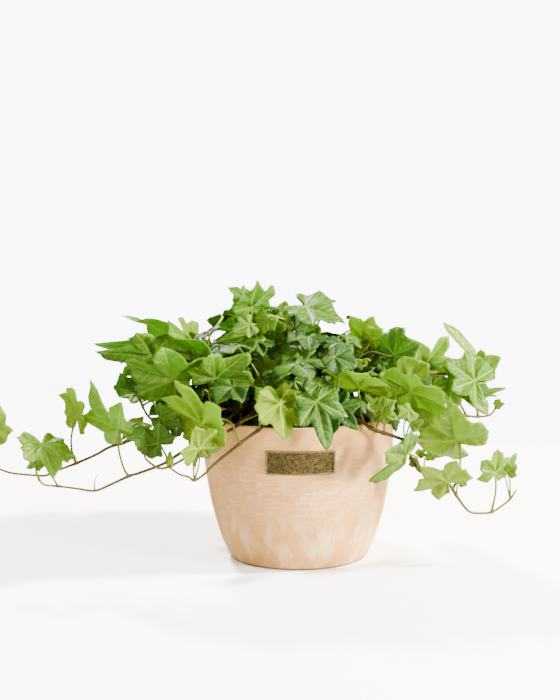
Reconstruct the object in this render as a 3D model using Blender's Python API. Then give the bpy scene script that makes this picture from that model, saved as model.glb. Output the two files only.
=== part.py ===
"""A potted english ivy, modelled in metres with +Z up.

The origin is at the centre of the pot's flat underside, and the viewer stands on the -Y side.
All the driving sizes and places are in millimetres and are scaled once, when a mesh is written.
Places on the plant are read from the front elevation: (right, up) on the upright plane through the
pot's axis, along sight lines from EYE, with a depth along Y of their own.
"""

import copy
import math
import random

import bmesh
import bpy
from mathutils import Matrix, Vector
from mathutils.bvhtree import BVHTree

MM = 0.001
EYE = Vector((-14.0, -1581.0, 414.0))

# Pot
POT_HEIGHT = 118.2
POT_WALL = 3.6
POT_FLOOR = 5.0
POT_SIDES = 32
WALL_STATIONS = [9.5, 42.5, 84.0]
POT_OUTSIDE = [(54.4, 0.0), (55.6, 1.2), (59.8, 9.5), (63.4, 19.0), (70.0, 42.5), (73.9, 65.0),
               (76.2, 84.0), (76.9, 104.0), (77.2, POT_HEIGHT - 0.8), (76.5, POT_HEIGHT)]
DRAIN_GROOVES = 4
GROOVE_WIDTH = 8.0
GROOVE_DEPTH = 1.2
DRAIN_HOLE_RADIUS = 4.0
DRAIN_HOLE_PLACE = 35.0

# Soil
GAP = 0.3
SOIL_EDGE = 111.5
SOIL_MOUND = 3.5
SOIL_SIDES = 20
SOIL_RINGS = [60.0, 44.0, 26.0, 0.0]
SOIL_EASE = 0.9
HOLE_DEPTH = 15.0
HOLE_RADIUS = 2.5

# Name plate
PLATE_CHORD = 54.3
PLATE_HEIGHT = 19.1
PLATE_THICKNESS = 1.5
PLATE_MIDDLE = 91.0
PLATE_SHIFT = 1.1
PLATE_CORNER = 1.6
PLATE_COLUMNS = 12

# Plant
BLADE_THICKNESS = 0.7
CLEARANCE = 0.4
STEM_RADIUS = 1.5
STEM_TIP_RADIUS = 0.8
STEM_SIDES = 4
STEM_STEP = 15.0
PETIOLE_RADIUS = 0.8
YOUNG_PETIOLE_RADIUS = 0.6
ROOT_SCATTER = 0.25
ROOT_LENGTH = 5.0
NECK_RISE = 2.4

# Half outlines of a blade, tip to base: degrees from the midrib, reach as a share of the midrib.
LEAF_KINDS = {
    "broad": [(0, 1.0), (16, 0.84), (31, 0.68), (54, 0.92), (87, 0.66), (114, 0.74), (150, 0.46)],
    "star": [(0, 1.0), (13, 0.76), (30, 0.54), (58, 0.94), (87, 0.54), (118, 0.72), (151, 0.40)],
    "narrow": [(0, 1.0), (10, 0.78), (26, 0.46), (50, 0.66), (80, 0.40), (114, 0.46), (150, 0.26)],
    "round": [(0, 1.0), (20, 0.92), (36, 0.84), (60, 0.98), (92, 0.80), (120, 0.86), (152, 0.62)],
    "three": [(0, 1.0), (20, 0.80), (36, 0.68), (58, 0.90), (98, 0.66), (138, 0.56)],
    "young": [(0, 1.0), (18, 0.78), (38, 0.62), (62, 0.80), (125, 0.52)],
}
NOTCH_REACH = 0.06

# Each leafy stem: its foot in the soil (x, y), then its route. A point is (right, up, depth),
# read from the front elevation.
STEMS = {
    "stem_left_long": ((-46, -10), [(-50, 128, -12), (-64, 126, -20), (-76, 119, -26), (-91, 108, -30),
                                    (-111, 103, -33), (-127, 98, -34), (-139, 93, -35), (-152, 89, -35),
                                    (-163, 83, -35), (-179, 76, -35), (-195, 70, -36), (-204, 66, -37),
                                    (-211, 66, -38), (-223, 67, -39), (-235, 69, -40), (-252, 76, -40)]),
    "stem_left_low": ((-34, -32), [(-38, 122, -38), (-48, 118, -47), (-57, 110, -56), (-64, 103, -62),
                                   (-73, 97, -66), (-83, 91, -66), (-93, 85, -64), (-107, 76, -62),
                                   (-116, 72, -61), (-130, 67, -60), (-137, 65, -60), (-152, 58, -59),
                                   (-165, 53, -58), (-180, 55, -57), (-195, 57, -56), (-205, 58, -55),
                                   (-209, 61, -55)]),
    "stem_left_thin": ((-24, -40), [(-28, 119, -46), (-39, 114, -56), (-48, 107, -65), (-53, 103, -71),
                                    (-63, 99, -74), (-71, 95, -75), (-80, 88, -75), (-89, 81, -74),
                                    (-103, 73, -73), (-112, 71, -72), (-116, 73, -73), (-121, 77, -74),
                                    (-124, 81, -74), (-122, 86, -74), (-125, 93, -74)]),
    "stem_front_left": ((-10, -46), [(-13, 116, -52), (-21, 111, -64), (-27, 107, -74), (-32, 102, -81),
                                     (-39, 97, -83), (-47, 91, -84), (-53, 86, -84), (-62, 79, -84),
                                     (-70, 72, -84), (-76, 66, -84), (-84, 61, -85), (-89, 64, -86),
                                     (-96, 66, -86), (-103, 71, -86)]),
    "stem_left_mid": ((-50, 8), [(-55, 130, 6), (-66, 130, -2), (-80, 124, -12), (-94, 116, -22),
                                 (-105, 111, -26), (-118, 112, -28), (-124, 120, -30), (-127, 128, -32),
                                 (-131, 134, -34)]),
    "stem_upper_left": ((-30, 14), [(-36, 138, 12), (-50, 150, 6), (-66, 156, -2), (-84, 158, -10),
                                    (-102, 162, -16), (-118, 166, -20)]),
    "stem_top": ((-10, -4), [(-12, 132, -5), (-16, 148, -8), (-18, 158, -10), (-20, 167, -11),
                             (-22, 172, -11), (-32, 180, -10), (-35, 185, -9), (-39, 193, -9),
                             (-40, 201, -9)]),
    "stem_top_right": ((-2, 18), [(-3, 138, 16), (-6, 156, 12), (-8, 172, 8), (-13, 182, 4)]),
    "stem_crown": ((18, -6), [(20, 130, -10), (24, 140, -16), (33, 148, -20), (44, 152, -22)]),
    "stem_front_mid": ((2, -24), [(2, 122, -32), (-4, 130, -40), (-14, 134, -44), (-26, 136, -44)]),
    "stem_front_right": ((22, -34), [(23, 117, -42), (24, 118, -54), (26, 119, -64)]),
    "stem_right_back": ((30, 16), [(34, 134, 12), (42, 148, 6), (48, 156, 0), (52, 162, -3)]),
    "stem_right_upper": ((46, 0), [(54, 132, -4), (68, 138, -8), (84, 141, -12), (100, 146, -14),
                                   (118, 147, -12), (134, 145, -10), (146, 147, -8)]),
    "stem_right_short": ((48, -18), [(54, 122, -22), (66, 123, -28), (80, 123, -30), (94, 121, -28),
                                     (109, 118, -22), (123, 115, -18), (131, 114, -16), (139, 112, -15),
                                     (151, 112, -14), (156, 114, -14), (160, 120, -14)]),
    "stem_right_low": ((34, -40), [(38, 115, -48), (44, 112, -57), (51, 109, -62), (59, 103, -66),
                                   (69, 99, -66), (78, 96, -65), (86, 92, -65), (90, 82, -64),
                                   (97, 69, -63), (110, 61, -62), (122, 56, -60), (128, 47, -57),
                                   (138, 34, -54), (148, 32, -52), (157, 33, -50), (165, 38, -48),
                                   (172, 44, -47), (177, 52, -46)]),
    "stem_back_left": ((-28, 38), [(-34, 142, 50), (-44, 144, 66), (-54, 132, 82), (-62, 116, 94),
                                   (-68, 98, 102)]),
    "stem_back_mid": ((2, 48), [(2, 140, 58), (4, 142, 74), (8, 132, 90), (10, 114, 100), (14, 96, 104)]),
    "stem_back_right": ((34, 38), [(40, 142, 48), (52, 144, 62), (62, 132, 76), (68, 118, 88),
                                   (76, 102, 94)]),
}

# The leaves that the front elevation shows, by stem: where the petiole leaves the stem (None: at the
# nearest place), the joint of petiole and blade and the blade's tip as (right, up), the joint's
# depth, how far the tip leans towards the viewer and how far the upper side rolls away from the
# viewer about the midrib, both in degrees, the kind, and places that the petiole passes.
LEAVES = {
    "stem_left_long": [
        ((-248, 72), (-246, 102), (-237, 127), -38, 15, 150, "young", []),
        ((-179, 76), (-179, 114), (-185, 139), -35, 20, 115, "broad", [(-182, 82), (-183, 95), (-181, 107)]),
        ((-142, 92), (-126, 108), (-142, 96), -44, 10, 60, "young", []),
    ],
    "stem_left_low": [
        ((-208, 61), (-207, 91), (-198, 65), -55, 40, -40, "broad", [(-212, 70), (-211, 76)]),
        ((-195, 58), (-210, 77), (-220, 71), -58, 15, 40, "young", []),
        ((-137, 65), (-144, 105), (-168, 141), -60, 15, -65, "star", [(-140, 69), (-143, 78), (-145, 90)]),
        ((-82, 91), (-92, 116), (-81, 73), -64, 15, -45, "narrow", []),
    ],
    "stem_left_thin": [
        ((-125, 93), (-126, 97), (-139, 97), -74, 25, 20, "young", []),
        ((-103, 72), (-113, 92), (-129, 106), -72, 15, -25, "broad", []),
        ((-61, 102), (-66, 145), (-40, 167), -50, 20, 40, "broad", [(-71, 129)]),
        ((-47, 107), (-12, 127), (-11, 142), -66, 10, 160, "young", [(-43, 110), (-29, 116)]),
    ],
    "stem_front_left": [
        ((-84, 62), (-77, 89), (-61, 89), -85, 0, 35, "young", []),
        ((-84, 62), (-80, 87), (-81, 105), -88, 45, -145, "young", []),
        ((-103, 71), (-104, 76), (-104, 86), -86, 0, 60, "young", []),
        ((-48, 94), (-78, 107), (-98, 144), -82, 25, 125, "star", [(-53, 107), (-60, 111), (-66, 111)]),
        ((-31, 102), (-14, 124), (-11, 94), -82, 10, 150, "broad", [(-27, 116), (-19, 120)]),
    ],
    "stem_left_mid": [
        (None, (-110, 113), (-93, 105), -55, 10, 40, "broad", []),
        (None, (-98, 124), (-118, 109), -38, 10, 30, "broad", []),
        ((-125, 126), (-128, 133), (-147, 129), -34, 5, 60, "young", []),
        ((-127, 129), (-128, 137), (-130, 153), -30, 10, 140, "young", []),
        ((-128, 132), (-136, 136), (-143, 151), -40, 25, -20, "young", []),
    ],
    "stem_upper_left": [
        (None, (-81, 166), (-138, 196), -18, 10, 105, "broad", []),
        (None, (-78, 168), (-86, 203), 16, 20, -125, "broad", []),
        (None, (-99, 145), (-139, 158), -42, 20, -50, "broad", []),
        (None, (-118, 172), (-164, 176), -24, 15, -60, "narrow", []),
        (None, (-116, 164), (-164, 168), -32, 20, -45, "narrow", []),
    ],
    "stem_top": [
        ((-39, 193), (-37, 202), (-32, 224), -10, 40, 60, "broad", []),
        ((-40, 198), (-39, 205), (-52, 209), -12, 15, -30, "young", []),
        ((-40, 201), (-42, 209), (-55, 218), -6, 5, 50, "young", []),
        ((-36, 187), (-40, 200), (-59, 187), -2, 25, -60, "broad", []),
        ((-35, 186), (-36, 193), (-24, 200), -8, 25, 10, "broad", []),
        ((-35, 185), (-38, 188), (-52, 181), -14, 15, 20, "young", []),
        ((-28, 177), (-35, 181), (-66, 173), -18, 10, 150, "narrow", []),
        ((-22, 172), (-24, 193), (-33, 180), -12, 15, 30, "young", []),
        ((-22, 172), (-20, 185), (-9, 175), -14, 10, 30, "broad", []),
    ],
    "stem_top_right": [
        (None, (-15, 195), (-23, 204), 4, 50, -20, "broad", []),
        (None, (-14, 195), (11, 201), 0, 5, 70, "narrow", []),
        (None, (-15, 191), (-2, 192), -4, 25, 15, "young", []),
        (None, (-19, 192), (-7, 184), -10, 20, 0, "broad", []),
        (None, (-11, 179), (5, 178), -6, 30, -10, "broad", []),
        (None, (-6, 176), (16, 160), -14, 20, -15, "round", []),
        (None, (-20, 164), (-12, 151), -22, 15, 20, "young", []),
        (None, (-26, 150), (-28, 167), -26, 10, 160, "young", []),
    ],
    "stem_crown": [
        (None, (32, 157), (26, 178), -15, -15, 30, "broad", []),
        (None, (52, 157), (29, 154), -30, 10, 100, "narrow", []),
        (None, (50, 144), (62, 153), -34, 15, -70, "young", []),
        (None, (-3, 142), (7, 119), -52, 20, -30, "broad", []),
        (None, (-6, 142), (-21, 150), -48, 25, 15, "young", []),
    ],
    "stem_front_mid": [
        (None, (-35, 143), (-44, 130), -46, 20, -30, "broad", []),
        (None, (-27, 139), (-21, 123), -50, 15, 35, "broad", []),
        (None, (-29, 134), (-28, 121), -56, 5, -50, "young", []),
        (None, (-50, 142), (-53, 132), -40, 15, -150, "young", []),
    ],
    "stem_front_right": [
        (None, (15, 125), (23, 84), -84, 10, -10, "narrow", []),
        (None, (32, 119), (48, 102), -74, 25, 0, "star", []),
    ],
    "stem_right_back": [
        (None, (57, 174), (41, 194), 0, 5, 140, "broad", []),
        (None, (59, 175), (69, 184), -3, 20, 160, "young", []),
        (None, (78, 163), (98, 172), -20, 40, 5, "round", []),
        (None, (65, 167), (76, 167), -8, 10, -45, "round", []),
        (None, (59, 156), (61, 171), -14, 20, 40, "young", []),
        (None, (66, 158), (77, 154), -18, 20, -20, "broad", []),
    ],
    "stem_right_upper": [
        (None, (100, 153), (122, 180), -22, 15, 50, "star", []),
        (None, (146, 149), (115, 191), -8, 10, 75, "narrow", []),
        (None, (147, 151), (164, 160), -6, 15, -20, "young", []),
        (None, (142, 141), (118, 157), -12, 15, 35, "broad", []),
        (None, (90, 140), (64, 146), -36, 20, 150, "broad", []),
    ],
    "stem_right_short": [
        ((137, 112), (122, 142), (155, 112), -22, 10, -40, "narrow", []),
        ((146, 112), (145, 130), (168, 137), -10, 15, 60, "star", []),
        ((160, 120), (160, 122), (167, 122), -14, 10, 20, "young", []),
        (None, (91, 132), (119, 122), -44, 30, -135, "round", []),
    ],
    "stem_right_low": [
        ((59, 103), (49, 136), (44, 151), -55, 60, 150, "broad", [(57, 103), (51, 114), (50, 126)]),
        ((59, 103), (63, 119), (53, 131), -68, 10, 60, "young", []),
        ((60, 101), (65, 119), (81, 135), -64, 10, 120, "young", []),
        ((61, 101), (68, 118), (80, 126), -72, 15, -30, "young", []),
        ((63, 101), (70, 115), (81, 110), -78, 25, 0, "young", []),
        ((86, 92), (90, 117), (78, 110), -70, 20, 20, "young", []),
        ((86, 92), (92, 106), (102, 109), -74, 20, 0, "young", []),
        (None, (77, 113), (79, 98), -56, 10, -60, "young", []),
        ((86, 91), (88, 88), (97, 98), -70, 10, 50, "young", []),
        ((97, 69), (85, 81), (56, 58), -80, 20, -75, "star", []),
        ((99, 67), (98, 81), (103, 86), -66, 10, 30, "young", []),
        ((102, 66), (105, 79), (115, 81), -64, 10, 60, "young", []),
        ((97, 70), (94, 74), (89, 79), -72, 15, 10, "young", []),
        ((121, 56), (120, 58), (98, 70), -62, 35, 140, "star", []),
        ((125, 52), (128, 93), (89, 121), -48, 20, -55, "broad", [(130, 63), (131, 74)]),
        ((128, 48), (131, 58), (139, 63), -56, 10, 40, "young", []),
        ((157, 34), (159, 66), (161, 86), -50, 25, 40, "broad", []),
        ((172, 45), (171, 66), (178, 71), -50, 25, 0, "young", []),
        ((172, 44), (168, 71), (177, 82), -44, 10, 50, "young", [(168, 60)]),
    ],
}

# The rest of the crown is filled by rule inside this outline, read from the front elevation.
CROWN_OUTLINE = [(-128, 140), (-112, 164), (-84, 186), (-60, 196), (-44, 204), (-22, 206), (-6, 188),
                 (12, 178), (34, 176), (58, 180), (84, 180), (104, 166), (132, 152), (142, 132),
                 (112, 116), (84, 112), (58, 104), (0, 104), (-54, 104), (-80, 108), (-110, 116)]
CROWN_CENTRE = Vector((0.0, 8.0, 112.0))
CROWN_REACH = Vector((122.0, 96.0, 84.0))
CROWN_LEAF_LENGTH = (22.0, 33.0)
FILL_TRIES = 260
FILL_LEAVES = 38
FILL_SEED = 4
FILL_TURN = 0.7549
FILL_RISE = 0.5698


def make_object(name, bm, colour, roughness, metallic=0.0, smooth=False):
    """Make the object NAME from a bmesh in millimetres, with a material of its own."""
    bmesh.ops.recalc_face_normals(bm, faces=bm.faces)
    bm.transform(Matrix.Scale(MM, 4))
    mesh = bpy.data.meshes.new(name)
    bm.to_mesh(mesh)
    bm.free()
    if smooth:
        mesh.shade_smooth()
        mesh.set_sharp_from_angle(angle=math.radians(30))
    material = bpy.data.materials.new(name)
    material.use_nodes = True
    shader = material.node_tree.nodes["Principled BSDF"]
    shader.inputs["Base Color"].default_value = (*colour, 1.0)
    shader.inputs["Roughness"].default_value = roughness
    shader.inputs["Metallic"].default_value = metallic
    mesh.materials.append(material)
    obj = bpy.data.objects.new(name, mesh)
    bpy.context.scene.collection.objects.link(obj)
    return obj


def turned_body(profile, sides):
    """Spin a profile of (radius, height) about Z; its ends lie on the axis."""
    bm = bmesh.new()
    points = [bm.verts.new((radius, 0.0, height)) for radius, height in profile]
    edges = [bm.edges.new(pair) for pair in zip(points, points[1:])]
    bmesh.ops.spin(bm, geom=points + edges, cent=(0, 0, 0), axis=(0, 0, 1), dvec=(0, 0, 0),
                   angle=math.tau, steps=sides, use_merge=True, use_duplicate=False)
    bmesh.ops.remove_doubles(bm, verts=bm.verts, dist=0.001)
    return bm


def outside_radius(height):
    """Radius of the pot's outer wall at a height."""
    for (r0, z0), (r1, z1) in zip(POT_OUTSIDE, POT_OUTSIDE[1:]):
        if z0 <= height <= z1:
            return r0 + (r1 - r0) * (height - z0) / (z1 - z0)
    return POT_OUTSIDE[-2][0]


def inside_radius(height):
    """Radius of the pot's inner wall at a height."""
    return outside_radius(height) - POT_WALL


def cutter(bm, name):
    """Make a hidden cutting object from a bmesh in millimetres."""
    obj = make_object(name, bm, (0.5, 0.5, 0.5), 0.5)
    obj.hide_render = True
    obj.display_type = "WIRE"
    return obj


def cut(obj, tool, solver="EXACT"):
    """Cut TOOL out of OBJ with a Boolean that is applied, and remove TOOL."""
    modifier = obj.modifiers.new("cut", "BOOLEAN")
    modifier.operation = "DIFFERENCE"
    modifier.solver = solver
    modifier.object = tool
    apply_modifiers(obj)
    bpy.data.objects.remove(tool)


def apply_modifiers(obj):
    """Keep the object's evaluated mesh and drop its modifiers."""
    graph = bpy.context.evaluated_depsgraph_get()
    graph.update()
    mesh = bpy.data.meshes.new_from_object(obj.evaluated_get(graph))
    obj.modifiers.clear()
    obj.data = mesh


def build_pot():
    """The pot: a turned wall and floor, with drain grooves across the underside."""
    lip = POT_HEIGHT
    inside = [(inside_radius(lip - 1.0) + 0.9, lip), (inside_radius(lip - 1.0), lip - 0.9)]
    inside += [(inside_radius(z), z) for z in reversed(WALL_STATIONS)]
    inside += [(inside_radius(POT_FLOOR + 1.5) - 1.5, POT_FLOOR), (0.0, POT_FLOOR)]
    pot = make_object("pot", turned_body([(0.0, 0.0)] + POT_OUTSIDE + inside, POT_SIDES),
                      (0.74, 0.53, 0.35), 0.75, smooth=True)
    tool = bmesh.new()
    start = DRAIN_HOLE_PLACE - DRAIN_HOLE_RADIUS
    end = POT_OUTSIDE[1][0] + 3.0
    for i in range(DRAIN_GROOVES):
        turn = Matrix.Rotation(math.tau * i / DRAIN_GROOVES, 4, "Z")
        groove = Matrix.Translation((0.0, -(start + end) / 2, 0.0))
        size = Matrix.Diagonal((GROOVE_WIDTH, end - start, GROOVE_DEPTH * 2, 1.0))
        bmesh.ops.create_cube(tool, size=1.0, matrix=turn @ groove @ size)
    cut(pot, cutter(tool, "grooves"))
    tool = bmesh.new()
    for i in range(DRAIN_GROOVES):
        turn = Matrix.Rotation(math.tau * i / DRAIN_GROOVES, 4, "Z")
        place = Matrix.Translation((0.0, -DRAIN_HOLE_PLACE, POT_FLOOR / 2))
        bmesh.ops.create_cone(tool, cap_ends=True, segments=12, radius1=DRAIN_HOLE_RADIUS - 0.2,
                              radius2=DRAIN_HOLE_RADIUS - 0.2, depth=POT_FLOOR * 2, matrix=turn @ place)
    cut(pot, cutter(tool, "drain_holes"))
    return pot


def soil_height(radius):
    """Height of the soil's top at a distance from the pot's axis."""
    edge = inside_radius(SOIL_EDGE) - GAP
    return SOIL_EDGE + SOIL_MOUND * math.cos(min(radius / edge, 1.0) * math.pi / 2)


def build_soil():
    """The soil that fills the pot, slightly mounded and uneven, with a blind hole for each stem."""
    floor = POT_FLOOR + GAP
    profile = [(0.0, floor), (inside_radius(POT_FLOOR + 2.0) - 2.0, floor)]
    profile += [(inside_radius(z) - GAP - SOIL_EASE, z) for z in WALL_STATIONS]
    profile += [(inside_radius(SOIL_EDGE) - GAP - SOIL_EASE, SOIL_EDGE)]
    profile += [(radius, soil_height(radius)) for radius in SOIL_RINGS]
    bm = turned_body(profile, SOIL_SIDES)
    rng = random.Random(11)
    for vert in bm.verts:
        radius = vert.co.xy.length
        if vert.co.z > SOIL_EDGE + 0.1 and radius < SOIL_RINGS[0] + 1.0:
            vert.co.z += rng.uniform(-1.0, 1.2)
    soil = make_object("soil", bm, (0.012, 0.009, 0.006), 0.95, smooth=True)
    tool = bmesh.new()
    for foot, _ in STEMS.values():
        place = Matrix.Translation((foot[0], foot[1], soil_height(math.hypot(*foot)) - HOLE_DEPTH + 10.0))
        bmesh.ops.create_cone(tool, cap_ends=True, segments=6, radius1=HOLE_RADIUS, radius2=HOLE_RADIUS,
                              depth=20.0, matrix=place)
    cut(soil, cutter(tool, "stem_holes"))
    return soil


def plate_outline():
    """Outline of the name plate laid flat: (along the wall, up), with cut corners in 3 steps."""
    radius = outside_radius(PLATE_MIDDLE) + GAP
    half = radius * math.asin(PLATE_CHORD / 2 / (radius + PLATE_THICKNESS))
    rise = PLATE_HEIGHT / 2
    corner = PLATE_CORNER
    right = [(half - corner + corner * math.sin(a), rise - corner + corner * math.cos(a))
             for a in (0.0, math.pi / 4, math.pi / 2)]
    right += [(x, -y) for x, y in reversed(right)]
    flat = 2 * (half - corner) / PLATE_COLUMNS
    top = [(-half + corner + flat * i, rise) for i in range(1, PLATE_COLUMNS)]
    left = [(-x, y) for x, y in reversed(right)]
    return top + right + [(x, -y) for x, y in reversed(top)] + left


def build_name_plate():
    """The bare name plate, bent round the pot's wall."""
    bm = bmesh.new()
    outline = plate_outline()
    face = bm.faces.new([bm.verts.new((x, 0.0, z)) for x, z in outline])
    back = bmesh.ops.extrude_face_region(bm, geom=[face])
    for vert in (item for item in back["geom"] if isinstance(item, bmesh.types.BMVert)):
        vert.co.y = -PLATE_THICKNESS
    for vert in bm.verts:
        along, out, up = vert.co.x, -vert.co.y, vert.co.z
        wall = outside_radius(PLATE_MIDDLE + up) + GAP
        angle = (along + PLATE_SHIFT) / outside_radius(PLATE_MIDDLE)
        vert.co = ((wall + out) * math.sin(angle), -(wall + out) * math.cos(angle), PLATE_MIDDLE + up)
    for side in [face for face in bm.faces if len(face.verts) > 4]:
        split_plate_face(bm, side)
    return make_object("name_plate", bm, (0.33, 0.22, 0.06), 0.45, 0.9, smooth=True)


def split_plate_face(bm, face):
    """Split a bent face of the plate into upright strips, so that it follows the wall."""
    count = len(face.verts)
    verts = list(face.verts)
    order = sorted(verts, key=lambda v: math.atan2(v.co.x, -v.co.y))
    bm.faces.remove(face)
    top = [v for v in order if v.co.z > PLATE_MIDDLE]
    bottom = [v for v in order if v.co.z <= PLATE_MIDDLE]
    assert len(top) == len(bottom) == count // 2
    for (a, b), (c, d) in zip(zip(top, top[1:]), zip(bottom, bottom[1:])):
        bm.faces.new((a, b, d, c))


def seen(right, up, depth):
    """The point at a depth that the front elevation shows at (right, up)."""
    flat = Vector((right, 0.0, up))
    return EYE + (flat - EYE) * ((depth - EYE.y) / (0.0 - EYE.y))


def smooth_route(points, step):
    """Points about STEP apart on a smooth curve through the given points."""
    padded = [points[0] * 2 - points[1]] + points + [points[-1] * 2 - points[-2]]
    route = []
    for p0, p1, p2, p3 in zip(padded, padded[1:], padded[2:], padded[3:]):
        count = max(1, round((p2 - p1).length / step))
        for i in range(count):
            t = i / count
            route.append(0.5 * (2 * p1 + (p2 - p0) * t + (2 * p0 - 5 * p1 + 4 * p2 - p3) * t * t
                                + (3 * p1 - p0 - 3 * p2 + p3) * t ** 3))
    return route + [points[-1].copy()]


def tube(route, radii, sides):
    """A closed tube along a route, as (vertices, faces)."""
    forward = (route[1] - route[0]).normalized()
    side = forward.orthogonal().normalized()
    verts = []
    for i, point in enumerate(route):
        ahead = (route[min(i + 1, len(route) - 1)] - route[max(i - 1, 0)]).normalized()
        side = (side - ahead * side.dot(ahead)).normalized()
        other = ahead.cross(side)
        for k in range(sides):
            angle = math.tau * k / sides
            verts.append(point + (side * math.cos(angle) + other * math.sin(angle)) * radii[i])
    faces = []
    for i in range(len(route) - 1):
        for k in range(sides):
            a, b = i * sides + k, i * sides + (k + 1) % sides
            faces.append((a, b, b + sides))
            faces.append((a, b + sides, a + sides))
    last = (len(route) - 1) * sides
    for k in range(1, sides - 1):
        faces.append((0, k + 1, k))
        faces.append((last, last + k, last + k + 1))
    return verts, faces


def stem_points(name):
    """The stem's route in space, from its foot in the soil."""
    (x, y), route = STEMS[name]
    top = soil_height(math.hypot(x, y))
    points = [Vector((x, y, top - HOLE_DEPTH + GAP)), Vector((x, y, top + 1.0))]
    return points + [seen(*point) for point in route]


def stem_tube(name, extra=0.0):
    """The stem's tube; EXTRA thickens it for the clearance test."""
    route = smooth_route(stem_points(name), STEM_STEP)
    radii = [STEM_RADIUS + (STEM_TIP_RADIUS - STEM_RADIUS) * i / (len(route) - 1) + extra
             for i in range(len(route))]
    return tube(route, radii, STEM_SIDES)


def half_outline(kind, rng):
    """A side's outline points (along, across) from tip to base, each leaf a little different."""
    points = []
    for i, (angle, reach) in enumerate(LEAF_KINDS[kind]):
        if i:
            angle += rng.uniform(-3.0, 3.0)
            reach *= rng.uniform(0.93, 1.07)
        points.append((reach * math.cos(math.radians(angle)), reach * math.sin(math.radians(angle))))
    return points


class Leaf:
    """A blade and its petiole: joint, midrib direction, upper side's normal, length and form."""

    def __init__(self, joint, midrib, normal, length, kind, seed):
        rng = random.Random(seed)
        self.joint = joint
        self.midrib = midrib.normalized()
        self.normal = (normal - self.midrib * normal.dot(self.midrib)).normalized()
        self.length = length
        self.kind = kind
        self.right_half = half_outline(kind, rng)
        self.left_half = half_outline(kind, rng)
        self.fold = rng.uniform(-0.05, 0.22)
        self.droop = rng.uniform(0.04, 0.16)
        self.wave = rng.uniform(0.02, 0.06)
        self.root_shift = scattered(rng) * ROOT_SCATTER
        self.root = None
        self.via = []
        self.petiole = []

    def moved(self, shift, tilt, roll):
        """A copy shifted along a vector, tilted about its breadth and rolled about its midrib."""
        other = copy.copy(self)
        other.joint = self.joint + shift
        breadth = self.midrib.cross(self.normal)
        turn = Matrix.Rotation(math.radians(roll), 3, self.midrib) @ Matrix.Rotation(
            math.radians(tilt), 3, breadth)
        other.midrib = (turn @ self.midrib).normalized()
        other.normal = (turn @ self.normal).normalized()
        other.via = [place + shift * 0.5 for place in self.via]
        return other

    def point(self, along, across):
        """A point of the blade's middle surface; along and across are shares of the midrib."""
        breadth = self.midrib.cross(self.normal)
        reach = math.hypot(along, across)
        angle = math.atan2(abs(across), along)
        lift = self.fold * abs(across) - self.droop * reach * reach - self.wave * reach * math.cos(6 * angle)
        return self.joint + (self.midrib * along + breadth * across + self.normal * lift) * self.length

    def outline(self):
        """The blade's outline from the petiole round the right half, tip and left half."""
        half = self.petiole_radius() / self.length
        notch = self.notch()
        right = [self.point(along, across) for along, across in reversed(self.right_half)]
        left = [self.point(along, -across) for along, across in self.left_half[1:]]
        return [self.point(-notch, half)] + right + left + [self.point(-notch, -half)]

    def notch(self):
        """How far behind the joint the petiole meets the blade, as a share of the midrib."""
        return max(NOTCH_REACH, 3.0 * self.petiole_radius() / self.length)

    def blade(self, extra=0.0):
        """The blade as a thin solid, split alike on both faces; the last 2 faces close its foot."""
        rim = self.outline()
        count = len(rim)
        half = self.normal * (BLADE_THICKNESS / 2 + extra)
        centre = self.joint
        rim = [point + (point - centre).normalized() * extra for point in rim]
        verts = [p + half for p in rim] + [p - half for p in rim] + [centre + half, centre - half]
        faces = []
        for i in range(count):
            j = (i + 1) % count
            faces.append((2 * count, i, j))
            faces.append((2 * count + 1, count + j, count + i))
            faces.append((i, count + i, count + j))
            faces.append((i, count + j, j))
        return verts, faces

    def solid(self):
        """The blade and its petiole as one closed body; the petiole grows from the blade's foot."""
        verts, faces = self.blade()
        count = (len(verts) - 2) // 2
        faces = faces[:-2]
        ring = [0, count - 1, 2 * count - 1, count]
        half = self.petiole_radius()
        side = self.midrib.cross(self.normal)
        route = self.petiole[::-1]
        for i, place in enumerate(route[1:], 1):
            ahead = (route[min(i + 1, len(route) - 1)] - route[i - 1]).normalized()
            side = (side - ahead * side.dot(ahead)).normalized()
            over = ahead.cross(side)
            corners = [side + over, over - side, -side - over, side - over]
            new = list(range(len(verts), len(verts) + 4))
            verts += [place + corner * half * 0.8 for corner in corners]
            for k in range(4):
                j = (k + 1) % 4
                faces.append((ring[k], ring[j], new[j]))
                faces.append((ring[k], new[j], new[k]))
            ring = new
        faces.append((ring[0], ring[1], ring[2]))
        faces.append((ring[0], ring[2], ring[3]))
        return verts, faces

    def petiole_route(self, sideways, under):
        """The petiole from the stem's middle to the blade's foot, which it reaches steeply from the
        under side (UNDER 1) or the upper side (-1); SIDEWAYS bends it to a side on its way."""
        foot = self.joint - self.midrib * self.notch() * self.length
        neck = foot - self.normal * NECK_RISE * under - self.midrib * NECK_RISE * 0.5
        if self.via:
            return [self.root] + self.via + [neck, foot]
        span = neck - self.root
        across = span.cross(Vector((0.0, 0.0, 1.0)))
        across = across.normalized() if across.length > 0.01 else Vector((1.0, 0.0, 0.0))
        bulge = across * sideways + Vector((0.0, 0.0, 0.12)) - self.normal * 0.1 * under
        return [self.root, self.root + span * 0.5 + bulge * span.length, neck, foot]

    def clears_itself(self):
        """Whether the petiole stays clear of its own blade."""
        verts, faces = self.solid()
        tree = BVHTree.FromPolygons(verts, faces)
        return all(set(faces[a]) & set(faces[b]) for a, b in tree.overlap(tree) if a != b)

    def petiole_radius(self):
        """Radius of the petiole: thinner on a young leaf."""
        return YOUNG_PETIOLE_RADIUS if self.kind == "young" else PETIOLE_RADIUS


def elevation(point):
    """Where the front elevation shows a point, as (right, up)."""
    flat = EYE + (point - EYE) * ((0.0 - EYE.y) / (point.y - EYE.y))
    return flat.x, flat.z


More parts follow.
